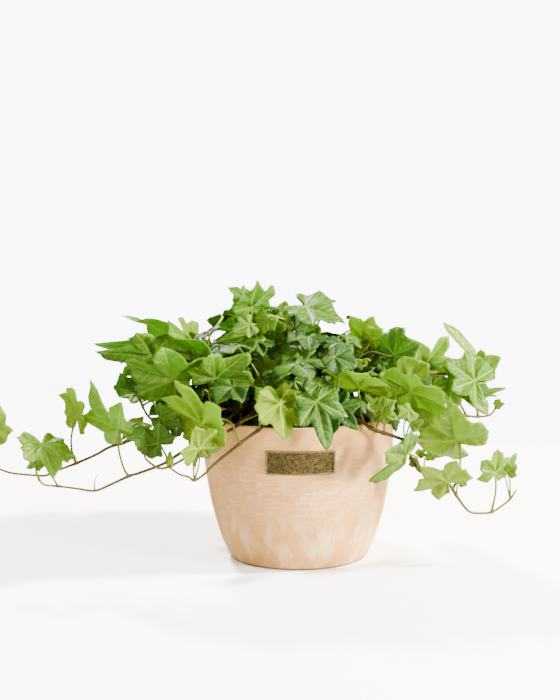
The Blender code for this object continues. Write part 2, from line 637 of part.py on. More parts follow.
class Clearance:
    """The solids placed so far, against which a new one is tested."""

    def __init__(self):
        self.placed = []

    def add(self, solid, owner):
        verts, faces = solid
        self.placed.append((BVHTree.FromPolygons(verts, faces), *box(verts), owner))

    def is_clear(self, solid, own=None):
        verts, faces = solid
        low, high = box(verts)
        tree = None
        for other, other_low, other_high, owner in self.placed:
            if owner == own or any(low[i] > other_high[i] or high[i] < other_low[i] for i in range(3)):
                continue
            tree = tree or BVHTree.FromPolygons(verts, faces)
            if tree.overlap(other):
                return False
        return True


def box(verts):
    """Least and greatest corner of a list of points."""
    return ([min(v[i] for v in verts) for i in range(3)], [max(v[i] for v in verts) for i in range(3)])


def mesh_solid(obj):
    """An object's mesh in millimetres, as (vertices, faces)."""
    verts = [obj.matrix_world @ vert.co / MM for vert in obj.data.vertices]
    return verts, [tuple(face.vertices) for face in obj.data.polygons]


def petiole_tube(leaf, extra=0.0):
    """The petiole alone as a tube, for the clearance test, without its root in the stem."""
    radius = leaf.petiole_radius() + extra
    first = leaf.petiole[1] - leaf.petiole[0]
    start = leaf.petiole[0] + first * min(ROOT_LENGTH / first.length, 0.8)
    return tube([start] + leaf.petiole[1:], [radius] * len(leaf.petiole), 4)


TILT_COST = 1.2
ROLL_COST = 0.5
SHIFTS = [0.0, 2.5, -2.5, 5.0, -5.0, 8.0, -8.0, 12.0, -12.0, 16.0, -16.0, 21.0, -21.0]
TURNS = [(0, 0), (10, 0), (-10, 0), (0, 12), (0, -12), (18, 18), (-18, -18), (28, 0), (-28, 0)]
NUDGES = sorted(((shift, tilt, roll) for shift in SHIFTS for tilt, roll in TURNS),
                key=lambda nudge: abs(nudge[0]) + TILT_COST * abs(nudge[1]) + ROLL_COST * abs(nudge[2]))
BENDS = [0.0, 0.15, -0.15, 0.3, -0.3, 0.5, -0.5]
MOST_BLADES = 24
ROOT_COUNT = 5
TIP_PASSES = 4


def settle(leaf, along, roots, stem, clearance):
    """Nudge a leaf until its blade and petiole cross nothing; None where no nudge is enough."""
    blades = 0
    for nudge, tilt, roll in NUDGES:
        moved = leaf.moved(along * nudge, tilt, roll)
        if not clearance.is_clear(moved.blade(CLEARANCE)):
            continue
        blades += 1
        for root in roots:
            moved.root = root + moved.root_shift
            under = 1.0 if (moved.joint - moved.root).dot(moved.normal) > 0.0 else -1.0
            for sideways in BENDS[:1] if moved.via else BENDS:
                moved.petiole = moved.petiole_route(sideways, under)
                if clearance.is_clear(petiole_tube(moved, CLEARANCE), stem) and moved.clears_itself():
                    return moved
        if blades == MOST_BLADES:
            return None
    return None


def place_leaf(leaf, along, roots, stem, clearance):
    """Settle a leaf, a smaller one where the full size finds no room, and keep it."""
    for share in (1.0, 1.0, 0.85, 0.8):
        leaf.length *= share
        settled = settle(leaf, along, roots, stem, clearance)
        if settled:
            clearance.add(settled.blade(), stem + " blade")
            clearance.add(petiole_tube(settled), stem + " petiole")
            return settled
        leaf.via = []
    return None


def nearest_roots(route, want):
    """The places of a route nearest to a point, nearest first."""
    return sorted(route[2:], key=lambda place: (place - want).length)[:ROOT_COUNT]


def shown_leaf(row, route, seed):
    """A leaf read from the front elevation, with the places on its stem that its petiole may use."""
    mark, joint_mark, tip_mark, depth, lean, roll, kind, via = row
    joint = seen(*joint_mark, depth)
    tip = seen(*tip_mark, depth)
    sight = (EYE - joint).normalized()
    slope = math.radians(lean)
    flat = tip - joint
    for _ in range(TIP_PASSES):
        flat -= sight * flat.dot(sight)
        midrib = flat.normalized() * math.cos(slope) + sight * math.sin(slope)
        facing = (sight - midrib * sight.dot(midrib)).normalized()
        normal = Matrix.Rotation(math.radians(roll), 3, midrib) @ facing
        leaf = Leaf(joint, midrib, normal, flat.length / math.cos(slope), kind, seed)
        flat += tip - seen(*elevation(leaf.point(1.0, 0.0)), depth)
    if mark:
        roots = sorted(route[2:], key=lambda place: math.dist(elevation(place), mark))[:ROOT_COUNT]
    else:
        roots = nearest_roots(route, joint - midrib * leaf.length * 0.35 - normal * 6.0)
    for i, place in enumerate(via):
        share = (i + 1) / (len(via) + 1)
        leaf.via.append(seen(*place, roots[0].y + (joint.y - roots[0].y) * share))
    return leaf, sight, roots


def inside_outline(right, up):
    """Whether the crown's outline holds a place of the front elevation."""
    within = False
    for (x0, y0), (x1, y1) in zip(CROWN_OUTLINE, CROWN_OUTLINE[1:] + CROWN_OUTLINE[:1]):
        if (y0 > up) != (y1 > up) and right < x0 + (x1 - x0) * (up - y0) / (y1 - y0):
            within = not within
    return within


def scattered(rng):
    """A random vector inside a unit cube around zero."""
    return Vector((rng.uniform(-1, 1), rng.uniform(-1, 1), rng.uniform(-1, 1)))


def crown_leaf(index, rng):
    """A leaf of the crown's dome, its upper side turned out and up and its tip hanging outwards."""
    turn = math.tau * (index * FILL_TURN % 1.0)
    rise = index * FILL_RISE % 1.0
    flat = math.sqrt(1.0 - rise * rise)
    out = Vector((math.cos(turn) * flat, math.sin(turn) * flat, rise))
    centre = CROWN_CENTRE + Vector(a * b for a, b in zip(out, CROWN_REACH)) * rng.uniform(0.5, 0.96)
    normal = (out * 0.8 + Vector((0, 0, 0.7)) + scattered(rng) * 0.4).normalized()
    hang = out * 0.5 - Vector((0, 0, 0.7)) + scattered(rng) * 0.6
    midrib = (hang - normal * hang.dot(normal)).normalized()
    length = rng.uniform(*CROWN_LEAF_LENGTH)
    return Leaf(centre - midrib * length * 0.4, midrib, normal, length, "three", index), out


def trailing_leaf(place, out, index, rng):
    """A leaf held up and out beside a trailing stem, on alternate sides."""
    side = out.cross(Vector((0, 0, 1))).normalized() * (1 if index % 2 else -1)
    joint = place + (out * 0.4 + side * 0.5 + Vector((0, 0, 0.8))) * rng.uniform(16.0, 26.0)
    normal = (out * 0.6 + Vector((0, 0, 0.8)) + side * 0.2 + scattered(rng) * 0.2).normalized()
    hang = out * 0.8 + side * 0.7 - Vector((0, 0, 0.5))
    midrib = (hang - normal * hang.dot(normal)).normalized()
    return Leaf(joint, midrib, normal, rng.uniform(*CROWN_LEAF_LENGTH), "three", index)


def grow_plant(clearance):
    """All the leaves by stem: those that are seen first, then those that follow a rule."""
    routes = {name: smooth_route(stem_points(name), 3.0) for name in STEMS}
    grown = {name: [] for name in STEMS}
    for name in STEMS:
        clearance.add(stem_tube(name), name)
    rows = [(row[6] == "young", row[3], name, i, row)
            for name, leaves in LEAVES.items() for i, row in enumerate(leaves)]
    for _, _, name, i, row in sorted(rows, key=lambda item: item[:4]):
        leaf, sight, roots = shown_leaf(row, routes[name], name + str(i))
        settled = place_leaf(leaf, sight, roots, name, clearance)
        if settled:
            grown[name].append(settled)
    rng = random.Random(FILL_SEED)
    for name in (name for name in STEMS if name.startswith("stem_back")):
        for i, place in enumerate(routes[name][9::7]):
            out = Vector((place.x, place.y, 0.0)).normalized()
            leaf = trailing_leaf(place, out, i, rng)
            settled = place_leaf(leaf, out, nearest_roots(routes[name], place), name, clearance)
            if settled:
                grown[name].append(settled)
    count = 0
    for index in range(FILL_TRIES):
        leaf, out = crown_leaf(index, rng)
        if count >= FILL_LEAVES or not inside_outline(*elevation(leaf.point(0.4, 0.0))):
            continue
        want = leaf.joint - leaf.normal * 14.0
        name = min(STEMS, key=lambda key: min((place - want).length for place in routes[key][2:]))
        roots = nearest_roots(routes[name], want)
        if not 8.0 < (roots[0] - leaf.joint).length < 60.0:
            continue
        settled = place_leaf(leaf, out, roots, name, clearance)
        if settled:
            grown[name].append(settled)
            count += 1
    return grown


def solid_bmesh(solid):
    """A bmesh of (vertices, faces)."""
    bm = bmesh.new()
    verts = [bm.verts.new(point) for point in solid[0]]
    for face in solid[1]:
        bm.faces.new([verts[i] for i in face])
    return bm


def fuse_stem(name, leaves):
    """One closed body of a stem with its petioles and blades, joined with one Boolean union."""
    stem = make_object(name, solid_bmesh(stem_tube(name)), (0.10, 0.24, 0.04), 0.5)
    pieces = bpy.data.collections.new("pieces")
    for leaf in leaves:
        piece = make_object("piece", solid_bmesh(leaf.solid()), (0.10, 0.24, 0.04), 0.5)
        bpy.context.scene.collection.objects.unlink(piece)
        pieces.objects.link(piece)
    union = stem.modifiers.new("union", "BOOLEAN")
    union.operation = "UNION"
    union.operand_type = "COLLECTION"
    union.collection = pieces
    union.solver = "EXACT"
    apply_modifiers(stem)
    for piece in list(pieces.objects):
        bpy.data.objects.remove(piece)
    bpy.data.collections.remove(pieces)
    keep_largest_body(stem)
    return stem


def keep_largest_body(obj):
    """Drop the loose scraps and sealed hollows that a union can leave."""
    bm = bmesh.new()
    bm.from_mesh(obj.data)
    bmesh.ops.triangulate(bm, faces=bm.faces)
    waiting = set(bm.verts)
    bodies = []
    while waiting:
        body = set()
        edge_of_body = [waiting.pop()]
        while edge_of_body:
            vert = edge_of_body.pop()
            body.add(vert)
            near = [edge.other_vert(vert) for edge in vert.link_edges]
            edge_of_body += [other for other in near if other in waiting]
            waiting.difference_update(near)
        bodies.append(body)
    bodies.sort(key=len)
    for body in bodies[:-1]:
        bmesh.ops.delete(bm, geom=list(body), context="VERTS")
    bm.to_mesh(obj.data)
    bm.free()


def main():
    for obj in list(bpy.data.objects):
        bpy.data.objects.remove(obj, do_unlink=True)
    clearance = Clearance()
    for piece in (build_pot(), build_soil(), build_name_plate()):
        clearance.add(mesh_solid(piece), piece.name)
    for name, leaves in grow_plant(clearance).items():
        fuse_stem(name, leaves)


main()
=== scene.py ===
"""A potted english ivy: the finished look of its pot, name plate, soil, stems and leaves.

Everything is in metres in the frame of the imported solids: +Z up, the origin at the centre of the
pot's underside and the viewer on the -Y side. Sizes are in millimetres and are scaled by MM. The
stems and leaves follow the same rules as the solids: places are read from the front elevation,
(right, up) on the upright plane through the pot's axis, along sight lines from EYE.
"""

import copy
import math
import random

import bmesh
import bpy
from mathutils import Matrix, Vector, noise
from mathutils.bvhtree import BVHTree


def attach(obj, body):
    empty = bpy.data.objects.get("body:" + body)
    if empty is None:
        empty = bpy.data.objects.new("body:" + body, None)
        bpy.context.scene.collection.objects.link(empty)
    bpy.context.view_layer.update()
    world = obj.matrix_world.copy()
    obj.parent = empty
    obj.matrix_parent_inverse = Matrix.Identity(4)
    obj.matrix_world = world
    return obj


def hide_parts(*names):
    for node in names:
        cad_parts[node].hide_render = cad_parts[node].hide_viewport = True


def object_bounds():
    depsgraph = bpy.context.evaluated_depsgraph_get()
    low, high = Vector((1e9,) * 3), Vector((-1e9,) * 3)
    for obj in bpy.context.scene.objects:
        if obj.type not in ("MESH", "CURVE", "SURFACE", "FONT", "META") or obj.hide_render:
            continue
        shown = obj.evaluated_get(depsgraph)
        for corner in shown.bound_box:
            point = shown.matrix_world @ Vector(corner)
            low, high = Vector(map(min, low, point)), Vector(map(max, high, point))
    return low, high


bl_info = {
    "name": "Potted English Ivy",
    "version": (1, 0, 0),
    "blender": (4, 5, 0),
    "location": "3D View > Sidebar > Ivy",
    "description": "Builds the finished pot, name plate, soil, stems and leaves of a potted ivy",
    "category": "Object",
}

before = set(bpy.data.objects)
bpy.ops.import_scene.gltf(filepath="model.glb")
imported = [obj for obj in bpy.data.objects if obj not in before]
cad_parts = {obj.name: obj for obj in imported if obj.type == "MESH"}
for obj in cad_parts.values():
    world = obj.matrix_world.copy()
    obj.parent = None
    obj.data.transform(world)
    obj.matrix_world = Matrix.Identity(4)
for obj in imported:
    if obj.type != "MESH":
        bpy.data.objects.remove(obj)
CAD_LOW, CAD_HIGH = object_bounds()

MM = 0.001
UP = Vector((0.0, 0.0, 1.0))
EYE = Vector((-14.0, -1581.0, 414.0))

# Camera and light
TARGET = Vector((-14.0, 0.0, 167.3))
CAMERA_ROLL = -0.415
LENS = 102.7
SENSOR = 36.0
CLIP = (0.01, 50.0)

# Pot
POT_HEIGHT = 118.2
POT_WALL = 3.6
POT_FLOOR = 5.0
POT_OUTSIDE = [(54.4, 0.0), (55.6, 1.2), (59.8, 9.5), (63.4, 19.0), (70.0, 42.5), (73.9, 65.0),
               (76.2, 84.0), (76.9, 104.0), (77.2, POT_HEIGHT - 0.8), (76.5, POT_HEIGHT)]
DRAIN_GROOVES = 4
GROOVE_WIDTH = 8.0
GROOVE_DEPTH = 1.2
DRAIN_HOLE_RADIUS = 3.8
DRAIN_HOLE_PLACE = 35.0
DRAIN_HOLE_SIDES = 24
GROOVE_PAST_WALL = 3.0
FOOT_ROUND = (55.2, 0.35)
POT_COVE_HEIGHT = 6.5
POT_COVE = 1.5

# Soil
GAP = 0.3
SOIL_EDGE = 111.5
SOIL_MOUND = 3.5
HOLE_DEPTH = 15.0
SOIL_COVE_HEIGHT = 7.0
SOIL_COVE = 2.0

# Name plate
PLATE_CHORD = 54.3
PLATE_HEIGHT = 19.1
PLATE_THICKNESS = 1.5
PLATE_MIDDLE = 91.0
PLATE_SHIFT = 1.1
PLATE_CORNER = 1.6
PLATE_EDGE = 0.3

# Plant
ROUTE_STEP = 3.0
BLADE_THICKNESS = 0.7
CLEARANCE = 0.4
STEM_RADIUS = 1.5
STEM_TIP_RADIUS = 0.8
STEM_SIDES = 4
STEM_STEP = 15.0
PETIOLE_RADIUS = 0.8
YOUNG_PETIOLE_RADIUS = 0.6
ROOT_SCATTER = 0.25
ROOT_LENGTH = 5.0
NECK_RISE = 2.4
UPRIGHT_SPAN = 0.01
PETIOLE_ARCH = 0.12
PETIOLE_BOW = 0.1
ROOT_SHARE = 0.8
ROOT_BACK = 0.35
ROOT_UNDER = 6.0
PETIOLE_CORNER = 0.8

# Search for room: nudges of a leaf as (shift, tilt, roll), the least first, and bends of its stalk
TILT_COST = 1.2
ROLL_COST = 0.5
SHIFTS = [0.0, 2.5, -2.5, 5.0, -5.0, 8.0, -8.0, 12.0, -12.0, 16.0, -16.0, 21.0, -21.0]
TURNS = [(0, 0), (10, 0), (-10, 0), (0, 12), (0, -12), (18, 18), (-18, -18), (28, 0), (-28, 0)]
NUDGES = sorted(((shift, tilt, roll) for shift in SHIFTS for tilt, roll in TURNS),
                key=lambda nudge: abs(nudge[0]) + TILT_COST * abs(nudge[1]) + ROLL_COST * abs(nudge[2]))
BENDS = [0.0, 0.15, -0.15, 0.3, -0.3, 0.5, -0.5]
MOST_BLADES = 24
ROOT_COUNT = 5
TIP_PASSES = 4
# Each try's share of the size before; the second try lets the stalk find its own way instead.
SIZE_SHARES = (1.0, 1.0, 0.85, 0.8)

# Least and greatest form of a leaf, as shares of the midrib, and the change of its outline's points
FOLDS = (-0.05, 0.22)
DROOPS = (0.04, 0.16)
WAVES = (0.02, 0.06)
OUTLINE_TURNS = (-3.0, 3.0)
OUTLINE_SHARES = (0.93, 1.07)

# Half outlines of a blade, tip to base: degrees from the midrib, reach as a share of the midrib.
LEAF_KINDS = {
    "broad": [(0, 1.0), (16, 0.84), (31, 0.68), (54, 0.92), (87, 0.66), (114, 0.74), (150, 0.46)],
    "star": [(0, 1.0), (13, 0.76), (30, 0.54), (58, 0.94), (87, 0.54), (118, 0.72), (151, 0.40)],
    "narrow": [(0, 1.0), (10, 0.78), (26, 0.46), (50, 0.66), (80, 0.40), (114, 0.46), (150, 0.26)],
    "round": [(0, 1.0), (20, 0.92), (36, 0.84), (60, 0.98), (92, 0.80), (120, 0.86), (152, 0.62)],
    "three": [(0, 1.0), (20, 0.80), (36, 0.68), (58, 0.90), (98, 0.66), (138, 0.56)],
    "young": [(0, 1.0), (18, 0.78), (38, 0.62), (62, 0.80), (125, 0.52)],
}
NOTCH_REACH = 0.06
BLADE_MIDDLE = 0.4

# Each leafy stem: its foot in the soil (x, y), then its route. A point is (right, up, depth),
# read from the front elevation.
STEMS = {
    "stem_left_long": ((-46, -10), [
        (-50, 128, -12), (-64, 126, -20), (-76, 119, -26), (-91, 108, -30), (-111, 103, -33),
        (-127, 98, -34), (-139, 93, -35), (-152, 89, -35), (-163, 83, -35), (-179, 76, -35),
        (-195, 70, -36), (-204, 66, -37), (-211, 66, -38), (-223, 67, -39), (-235, 69, -40),
        (-252, 76, -40)]),
    "stem_left_low": ((-34, -32), [
        (-38, 122, -38), (-48, 118, -47), (-57, 110, -56), (-64, 103, -62), (-73, 97, -66),
        (-83, 91, -66), (-93, 85, -64), (-107, 76, -62), (-116, 72, -61), (-130, 67, -60),
        (-137, 65, -60), (-152, 58, -59), (-165, 53, -58), (-180, 55, -57), (-195, 57, -56),
        (-205, 58, -55), (-209, 61, -55)]),
    "stem_left_thin": ((-24, -40), [
        (-28, 119, -46), (-39, 114, -56), (-48, 107, -65), (-53, 103, -71), (-63, 99, -74),
        (-71, 95, -75), (-80, 88, -75), (-89, 81, -74), (-103, 73, -73), (-112, 71, -72), (-116, 73, -73),
        (-121, 77, -74), (-124, 81, -74), (-122, 86, -74), (-125, 93, -74)]),
    "stem_front_left": ((-10, -46), [
        (-13, 116, -52), (-21, 111, -64), (-27, 107, -74), (-32, 102, -81), (-39, 97, -83),
        (-47, 91, -84), (-53, 86, -84), (-62, 79, -84), (-70, 72, -84), (-76, 66, -84), (-84, 61, -85),
        (-89, 64, -86), (-96, 66, -86), (-103, 71, -86)]),
    "stem_left_mid": ((-50, 8), [
        (-55, 130, 6), (-66, 130, -2), (-80, 124, -12), (-94, 116, -22), (-105, 111, -26),
        (-118, 112, -28), (-124, 120, -30), (-127, 128, -32), (-131, 134, -34)]),
    "stem_upper_left": ((-30, 14), [
        (-36, 138, 12), (-50, 150, 6), (-66, 156, -2), (-84, 158, -10), (-102, 162, -16),
        (-118, 166, -20)]),
    "stem_top": ((-10, -4), [
        (-12, 132, -5), (-16, 148, -8), (-18, 158, -10), (-20, 167, -11), (-22, 172, -11),
        (-32, 180, -10), (-35, 185, -9), (-39, 193, -9), (-40, 201, -9)]),
    "stem_top_right": ((-2, 18), [
        (-3, 138, 16), (-6, 156, 12), (-8, 172, 8), (-13, 182, 4)]),
    "stem_crown": ((18, -6), [
        (20, 130, -10), (24, 140, -16), (33, 148, -20), (44, 152, -22)]),
    "stem_front_mid": ((2, -24), [
        (2, 122, -32), (-4, 130, -40), (-14, 134, -44), (-26, 136, -44)]),
    "stem_front_right": ((22, -34), [
        (23, 117, -42), (24, 118, -54), (26, 119, -64)]),
    "stem_right_back": ((30, 16), [
        (34, 134, 12), (42, 148, 6), (48, 156, 0), (52, 162, -3)]),
    "stem_right_upper": ((46, 0), [
        (54, 132, -4), (68, 138, -8), (84, 141, -12), (100, 146, -14), (118, 147, -12), (134, 145, -10),
        (146, 147, -8)]),
    "stem_right_short": ((48, -18), [
        (54, 122, -22), (66, 123, -28), (80, 123, -30), (94, 121, -28), (109, 118, -22), (123, 115, -18),
        (131, 114, -16), (139, 112, -15), (151, 112, -14), (156, 114, -14), (160, 120, -14)]),
    "stem_right_low": ((34, -40), [
        (38, 115, -48), (44, 112, -57), (51, 109, -62), (59, 103, -66), (69, 99, -66), (78, 96, -65),
        (86, 92, -65), (90, 82, -64), (97, 69, -63), (110, 61, -62), (122, 56, -60), (128, 47, -57),
        (138, 34, -54), (148, 32, -52), (157, 33, -50), (165, 38, -48), (172, 44, -47), (177, 52, -46)]),
    "stem_back_left": ((-28, 38), [
        (-34, 142, 50), (-44, 144, 66), (-54, 132, 82), (-62, 116, 94), (-68, 98, 102)]),
    "stem_back_mid": ((2, 48), [
        (2, 140, 58), (4, 142, 74), (8, 132, 90), (10, 114, 100), (14, 96, 104)]),
    "stem_back_right": ((34, 38), [
        (40, 142, 48), (52, 144, 62), (62, 132, 76), (68, 118, 88), (76, 102, 94)]),
}

# The leaves that the front elevation shows, by stem: where the petiole leaves the stem (None: at the
# nearest place), the joint of petiole and blade and the blade's tip as (right, up), the joint's
# depth, how far the tip leans towards the viewer and how far the upper side rolls away from the
# viewer about the midrib, both in degrees, the kind, how old the leaf looks from 0, a young
# yellow-green, to 1, an old blue-green, and places that the petiole passes.
LEAVES = {
    "stem_left_long": [
        ((-248, 72), (-246, 102), (-237, 127), -38, 15, 150, "young", 0.12),
        ((-179, 76), (-179, 114), (-185, 139), -35, 20, 115, "broad", 0.12, (-182, 82), (-183, 95),
         (-181, 107)),
        ((-142, 92), (-126, 108), (-142, 96), -44, 10, 60, "young", 0.15),
    ],
    "stem_left_low": [
        ((-208, 61), (-207, 91), (-198, 65), -55, 40, -40, "broad", 0.3, (-212, 70), (-211, 76)),
        ((-195, 58), (-210, 77), (-220, 71), -58, 15, 40, "young", 0.1),
        ((-137, 65), (-144, 105), (-168, 141), -60, 15, -65, "star", 0.25, (-140, 69), (-143, 78),
         (-145, 90)),
        ((-82, 91), (-92, 116), (-81, 73), -64, 15, -45, "narrow", 0.7),
    ],
    "stem_left_thin": [
        ((-125, 93), (-126, 97), (-139, 97), -74, 25, 20, "young", 0.6),
        ((-103, 72), (-113, 92), (-129, 106), -72, 15, -25, "broad", 0.65),
        ((-61, 102), (-66, 145), (-40, 167), -50, 20, 40, "broad", 0.5, (-71, 129)),
        ((-47, 107), (-12, 127), (-11, 142), -66, 10, 160, "young", 0.25, (-43, 110), (-29, 116)),
    ],
    "stem_front_left": [
        ((-84, 62), (-77, 89), (-61, 89), -85, 0, 35, "young", 0.05),
        ((-84, 62), (-80, 87), (-81, 105), -88, 45, -145, "young", 0.15),
        ((-103, 71), (-104, 76), (-104, 86), -86, 0, 60, "young", 0.12),
        ((-48, 94), (-78, 107), (-98, 144), -82, 25, 125, "star", 0.2, (-53, 107), (-60, 111), (-66, 111)),
        ((-31, 102), (-14, 124), (-11, 94), -82, 10, 150, "broad", 0.15, (-27, 116), (-19, 120)),
    ],
    "stem_left_mid": [
        (None, (-110, 113), (-93, 105), -55, 10, 40, "broad", 0.5),
        (None, (-98, 124), (-118, 109), -38, 10, 30, "broad", 0.8),
        ((-125, 126), (-128, 133), (-147, 129), -34, 5, 60, "young", 0.2),
        ((-127, 129), (-128, 137), (-130, 153), -30, 10, 140, "young", 0.2),
        ((-128, 132), (-136, 136), (-143, 151), -40, 25, -20, "young", 0.75),
    ],
    "stem_upper_left": [
        (None, (-81, 166), (-138, 196), -18, 10, 105, "broad", 0.55),
        (None, (-78, 168), (-86, 203), 16, 20, -125, "broad", 0.3),
        (None, (-99, 145), (-139, 158), -42, 20, -50, "broad", 0.5),
        (None, (-118, 172), (-164, 176), -24, 15, -60, "narrow", 0.5),
        (None, (-116, 164), (-164, 168), -32, 20, -45, "narrow", 0.5),
    ],
    "stem_top": [
        ((-39, 193), (-37, 202), (-32, 224), -10, 40, 60, "broad", 0.6),
        ((-40, 198), (-39, 205), (-52, 209), -12, 15, -30, "young", 0.55),
        ((-40, 201), (-42, 209), (-55, 218), -6, 5, 50, "young", 0.45),
        ((-36, 187), (-40, 200), (-59, 187), -2, 25, -60, "broad", 0.65),
        ((-35, 186), (-36, 193), (-24, 200), -8, 25, 10, "broad", 0.65),
        ((-35, 185), (-38, 188), (-52, 181), -14, 15, 20, "young", 0.4),
        ((-28, 177), (-35, 181), (-66, 173), -18, 10, 150, "narrow", 0.8),
        ((-22, 172), (-24, 193), (-33, 180), -12, 15, 30, "young", 0.4),
        ((-22, 172), (-20, 185), (-9, 175), -14, 10, 30, "broad", 0.4),
    ],
    "stem_top_right": [
        (None, (-15, 195), (-23, 204), 4, 50, -20, "broad", 0.35),
        (None, (-14, 195), (11, 201), 0, 5, 70, "narrow", 0.35),
        (None, (-15, 191), (-2, 192), -4, 25, 15, "young", 0.35),
        (None, (-19, 192), (-7, 184), -10, 20, 0, "broad", 0.7),
        (None, (-11, 179), (5, 178), -6, 30, -10, "broad", 0.55),
        (None, (-6, 176), (16, 160), -14, 20, -15, "round", 0.6),
        (None, (-20, 164), (-12, 151), -22, 15, 20, "young", 0.7),
        (None, (-26, 150), (-28, 167), -26, 10, 160, "young", 0.25),
    ],
    "stem_crown": [
        (None, (32, 157), (26, 178), -15, -15, 30, "broad", 0.85),
        (None, (52, 157), (29, 154), -30, 10, 100, "narrow", 0.3),
        (None, (50, 144), (62, 153), -34, 15, -70, "young", 0.85),
        (None, (-3, 142), (7, 119), -52, 20, -30, "broad", 0.65),
        (None, (-6, 142), (-21, 150), -48, 25, 15, "young", 0.45),
    ],
    "stem_front_mid": [
        (None, (-35, 143), (-44, 130), -46, 20, -30, "broad", 0.85),
        (None, (-27, 139), (-21, 123), -50, 15, 35, "broad", 0.8),
        (None, (-29, 134), (-28, 121), -56, 5, -50, "young", 0.55),
        (None, (-50, 142), (-53, 132), -40, 15, -150, "young", 0.3),
    ],
    "stem_front_right": [
        (None, (15, 125), (23, 84), -84, 10, -10, "narrow", 0.7),
        (None, (32, 119), (48, 102), -74, 25, 0, "star", 0.8),
    ],
    "stem_right_back": [
        (None, (57, 174), (41, 194), 0, 5, 140, "broad", 0.25),
        (None, (59, 175), (69, 184), -3, 20, 160, "young", 0.25),
        (None, (78, 163), (98, 172), -20, 40, 5, "round", 0.6),
        (None, (65, 167), (76, 167), -8, 10, -45, "round", 0.8),
        (None, (59, 156), (61, 171), -14, 20, 40, "young", 0.4),
        (None, (66, 158), (77, 154), -18, 20, -20, "broad", 0.7),
    ],
    "stem_right_upper": [
        (None, (100, 153), (122, 180), -22, 15, 50, "star", 0.3),
        (None, (146, 149), (115, 191), -8, 10, 75, "narrow", 0.25),
        (None, (147, 151), (164, 160), -6, 15, -20, "young", 0.3),
        (None, (142, 141), (118, 157), -12, 15, 35, "broad", 0.45),
        (None, (90, 140), (64, 146), -36, 20, 150, "broad", 0.4),
    ],
    "stem_right_short": [
        ((137, 112), (122, 142), (155, 112), -22, 10, -40, "narrow", 0.35),
        ((146, 112), (145, 130), (168, 137), -10, 15, 60, "star", 0.3),
        ((160, 120), (160, 122), (167, 122), -14, 10, 20, "young", 0.2),
        (None, (91, 132), (119, 122), -44, 30, -135, "round", 0.35),
    ],
    "stem_right_low": [
        ((59, 103), (49, 136), (44, 151), -55, 60, 150, "broad", 0.3, (57, 103), (51, 114), (50, 126)),
        ((59, 103), (63, 119), (53, 131), -68, 10, 60, "young", 0.2),
        ((60, 101), (65, 119), (81, 135), -64, 10, 120, "young", 0.2),
        ((61, 101), (68, 118), (80, 126), -72, 15, -30, "young", 0.2),
        ((63, 101), (70, 115), (81, 110), -78, 25, 0, "young", 0.2),
        ((86, 92), (90, 117), (78, 110), -70, 20, 20, "young", 0.25),
        ((86, 92), (92, 106), (102, 109), -74, 20, 0, "young", 0.25),
        (None, (77, 113), (79, 98), -56, 10, -60, "young", 0.75),
        ((86, 91), (88, 88), (97, 98), -70, 10, 50, "young", 0.55),
        ((97, 69), (85, 81), (56, 58), -80, 20, -75, "star", 0.4),
        ((99, 67), (98, 81), (103, 86), -66, 10, 30, "young", 0.2),
        ((102, 66), (105, 79), (115, 81), -64, 10, 60, "young", 0.2),
        ((97, 70), (94, 74), (89, 79), -72, 15, 10, "young", 0.1),
        ((121, 56), (120, 58), (98, 70), -62, 35, 140, "star", 0.02),
        ((125, 52), (128, 93), (89, 121), -48, 20, -55, "broad", 0.15, (130, 63), (131, 74)),
        ((128, 48), (131, 58), (139, 63), -56, 10, 40, "young", 0.15),
        ((157, 34), (159, 66), (161, 86), -50, 25, 40, "broad", 0.2),
        ((172, 45), (171, 66), (178, 71), -50, 25, 0, "young", 0.2),
        ((172, 44), (168, 71), (177, 82), -44, 10, 50, "young", 0.2, (168, 60)),
    ],
}

# The rest of the crown is filled by rule inside this outline, read from the front elevation.
CROWN_OUTLINE = [(-128, 140), (-112, 164), (-84, 186), (-60, 196), (-44, 204), (-22, 206), (-6, 188),
                 (12, 178), (34, 176), (58, 180), (84, 180), (104, 166), (132, 152), (142, 132),
                 (112, 116), (84, 112), (58, 104), (0, 104), (-54, 104), (-80, 108), (-110, 116)]
CROWN_CENTRE = Vector((0.0, 8.0, 112.0))
CROWN_REACH = Vector((122.0, 96.0, 84.0))
CROWN_DEPTHS = (0.5, 0.96)
CROWN_LEAF_LENGTH = (22.0, 33.0)
TRAILING_STALKS = (16.0, 26.0)
# Weights of the ways out, up and scattered that a crown leaf faces and hangs
CROWN_FACING = (0.8, 0.7, 0.4)
CROWN_HANG = (0.5, -0.7, 0.6)
# Weights of the ways out, to a side and up that a trailing leaf rises and hangs
TRAILING_RISE = (0.4, 0.5, 0.8)
TRAILING_HANG = (0.8, 0.7, -0.5)
# Weights of the ways out, up, to a side and scattered that a trailing leaf faces
TRAILING_FACING = (0.6, 0.8, 0.2, 0.2)
FILL_TRIES = 260
FILL_LEAVES = 38
FILL_SEED = 4
FILL_TURN = 0.7549
FILL_RISE = 0.5698
FIRST_TRAILING = 9
TRAILING_STEP = 7
# How far behind a crown leaf its stem is looked for, and the least and greatest length of its stalk
BEHIND_LEAF = 14.0
FILL_STALKS = (8.0, 60.0)

# Crown leaves that the solids don't have; at the front there are none below OPEN_FRONT.
EXTRA_TRIES = 400
EXTRA_SEED = 21
EXTRA_STALKS = (6.0, 45.0)
EXTRA_SIZES = (0.5, 0.9)
OPEN_FRONT = 128.0

# Ages of the other leaves, times YOUNG_SHARE above YOUNG_HEIGHT, and the spread of the shown ones
FILLER_AGES = (0.55, 1.0)
YOUNG_HEIGHT = 185.0
YOUNG_SHARE = 0.65
TRAILING_AGES = (0.3, 0.8)
AGE_SPREAD = 0.05

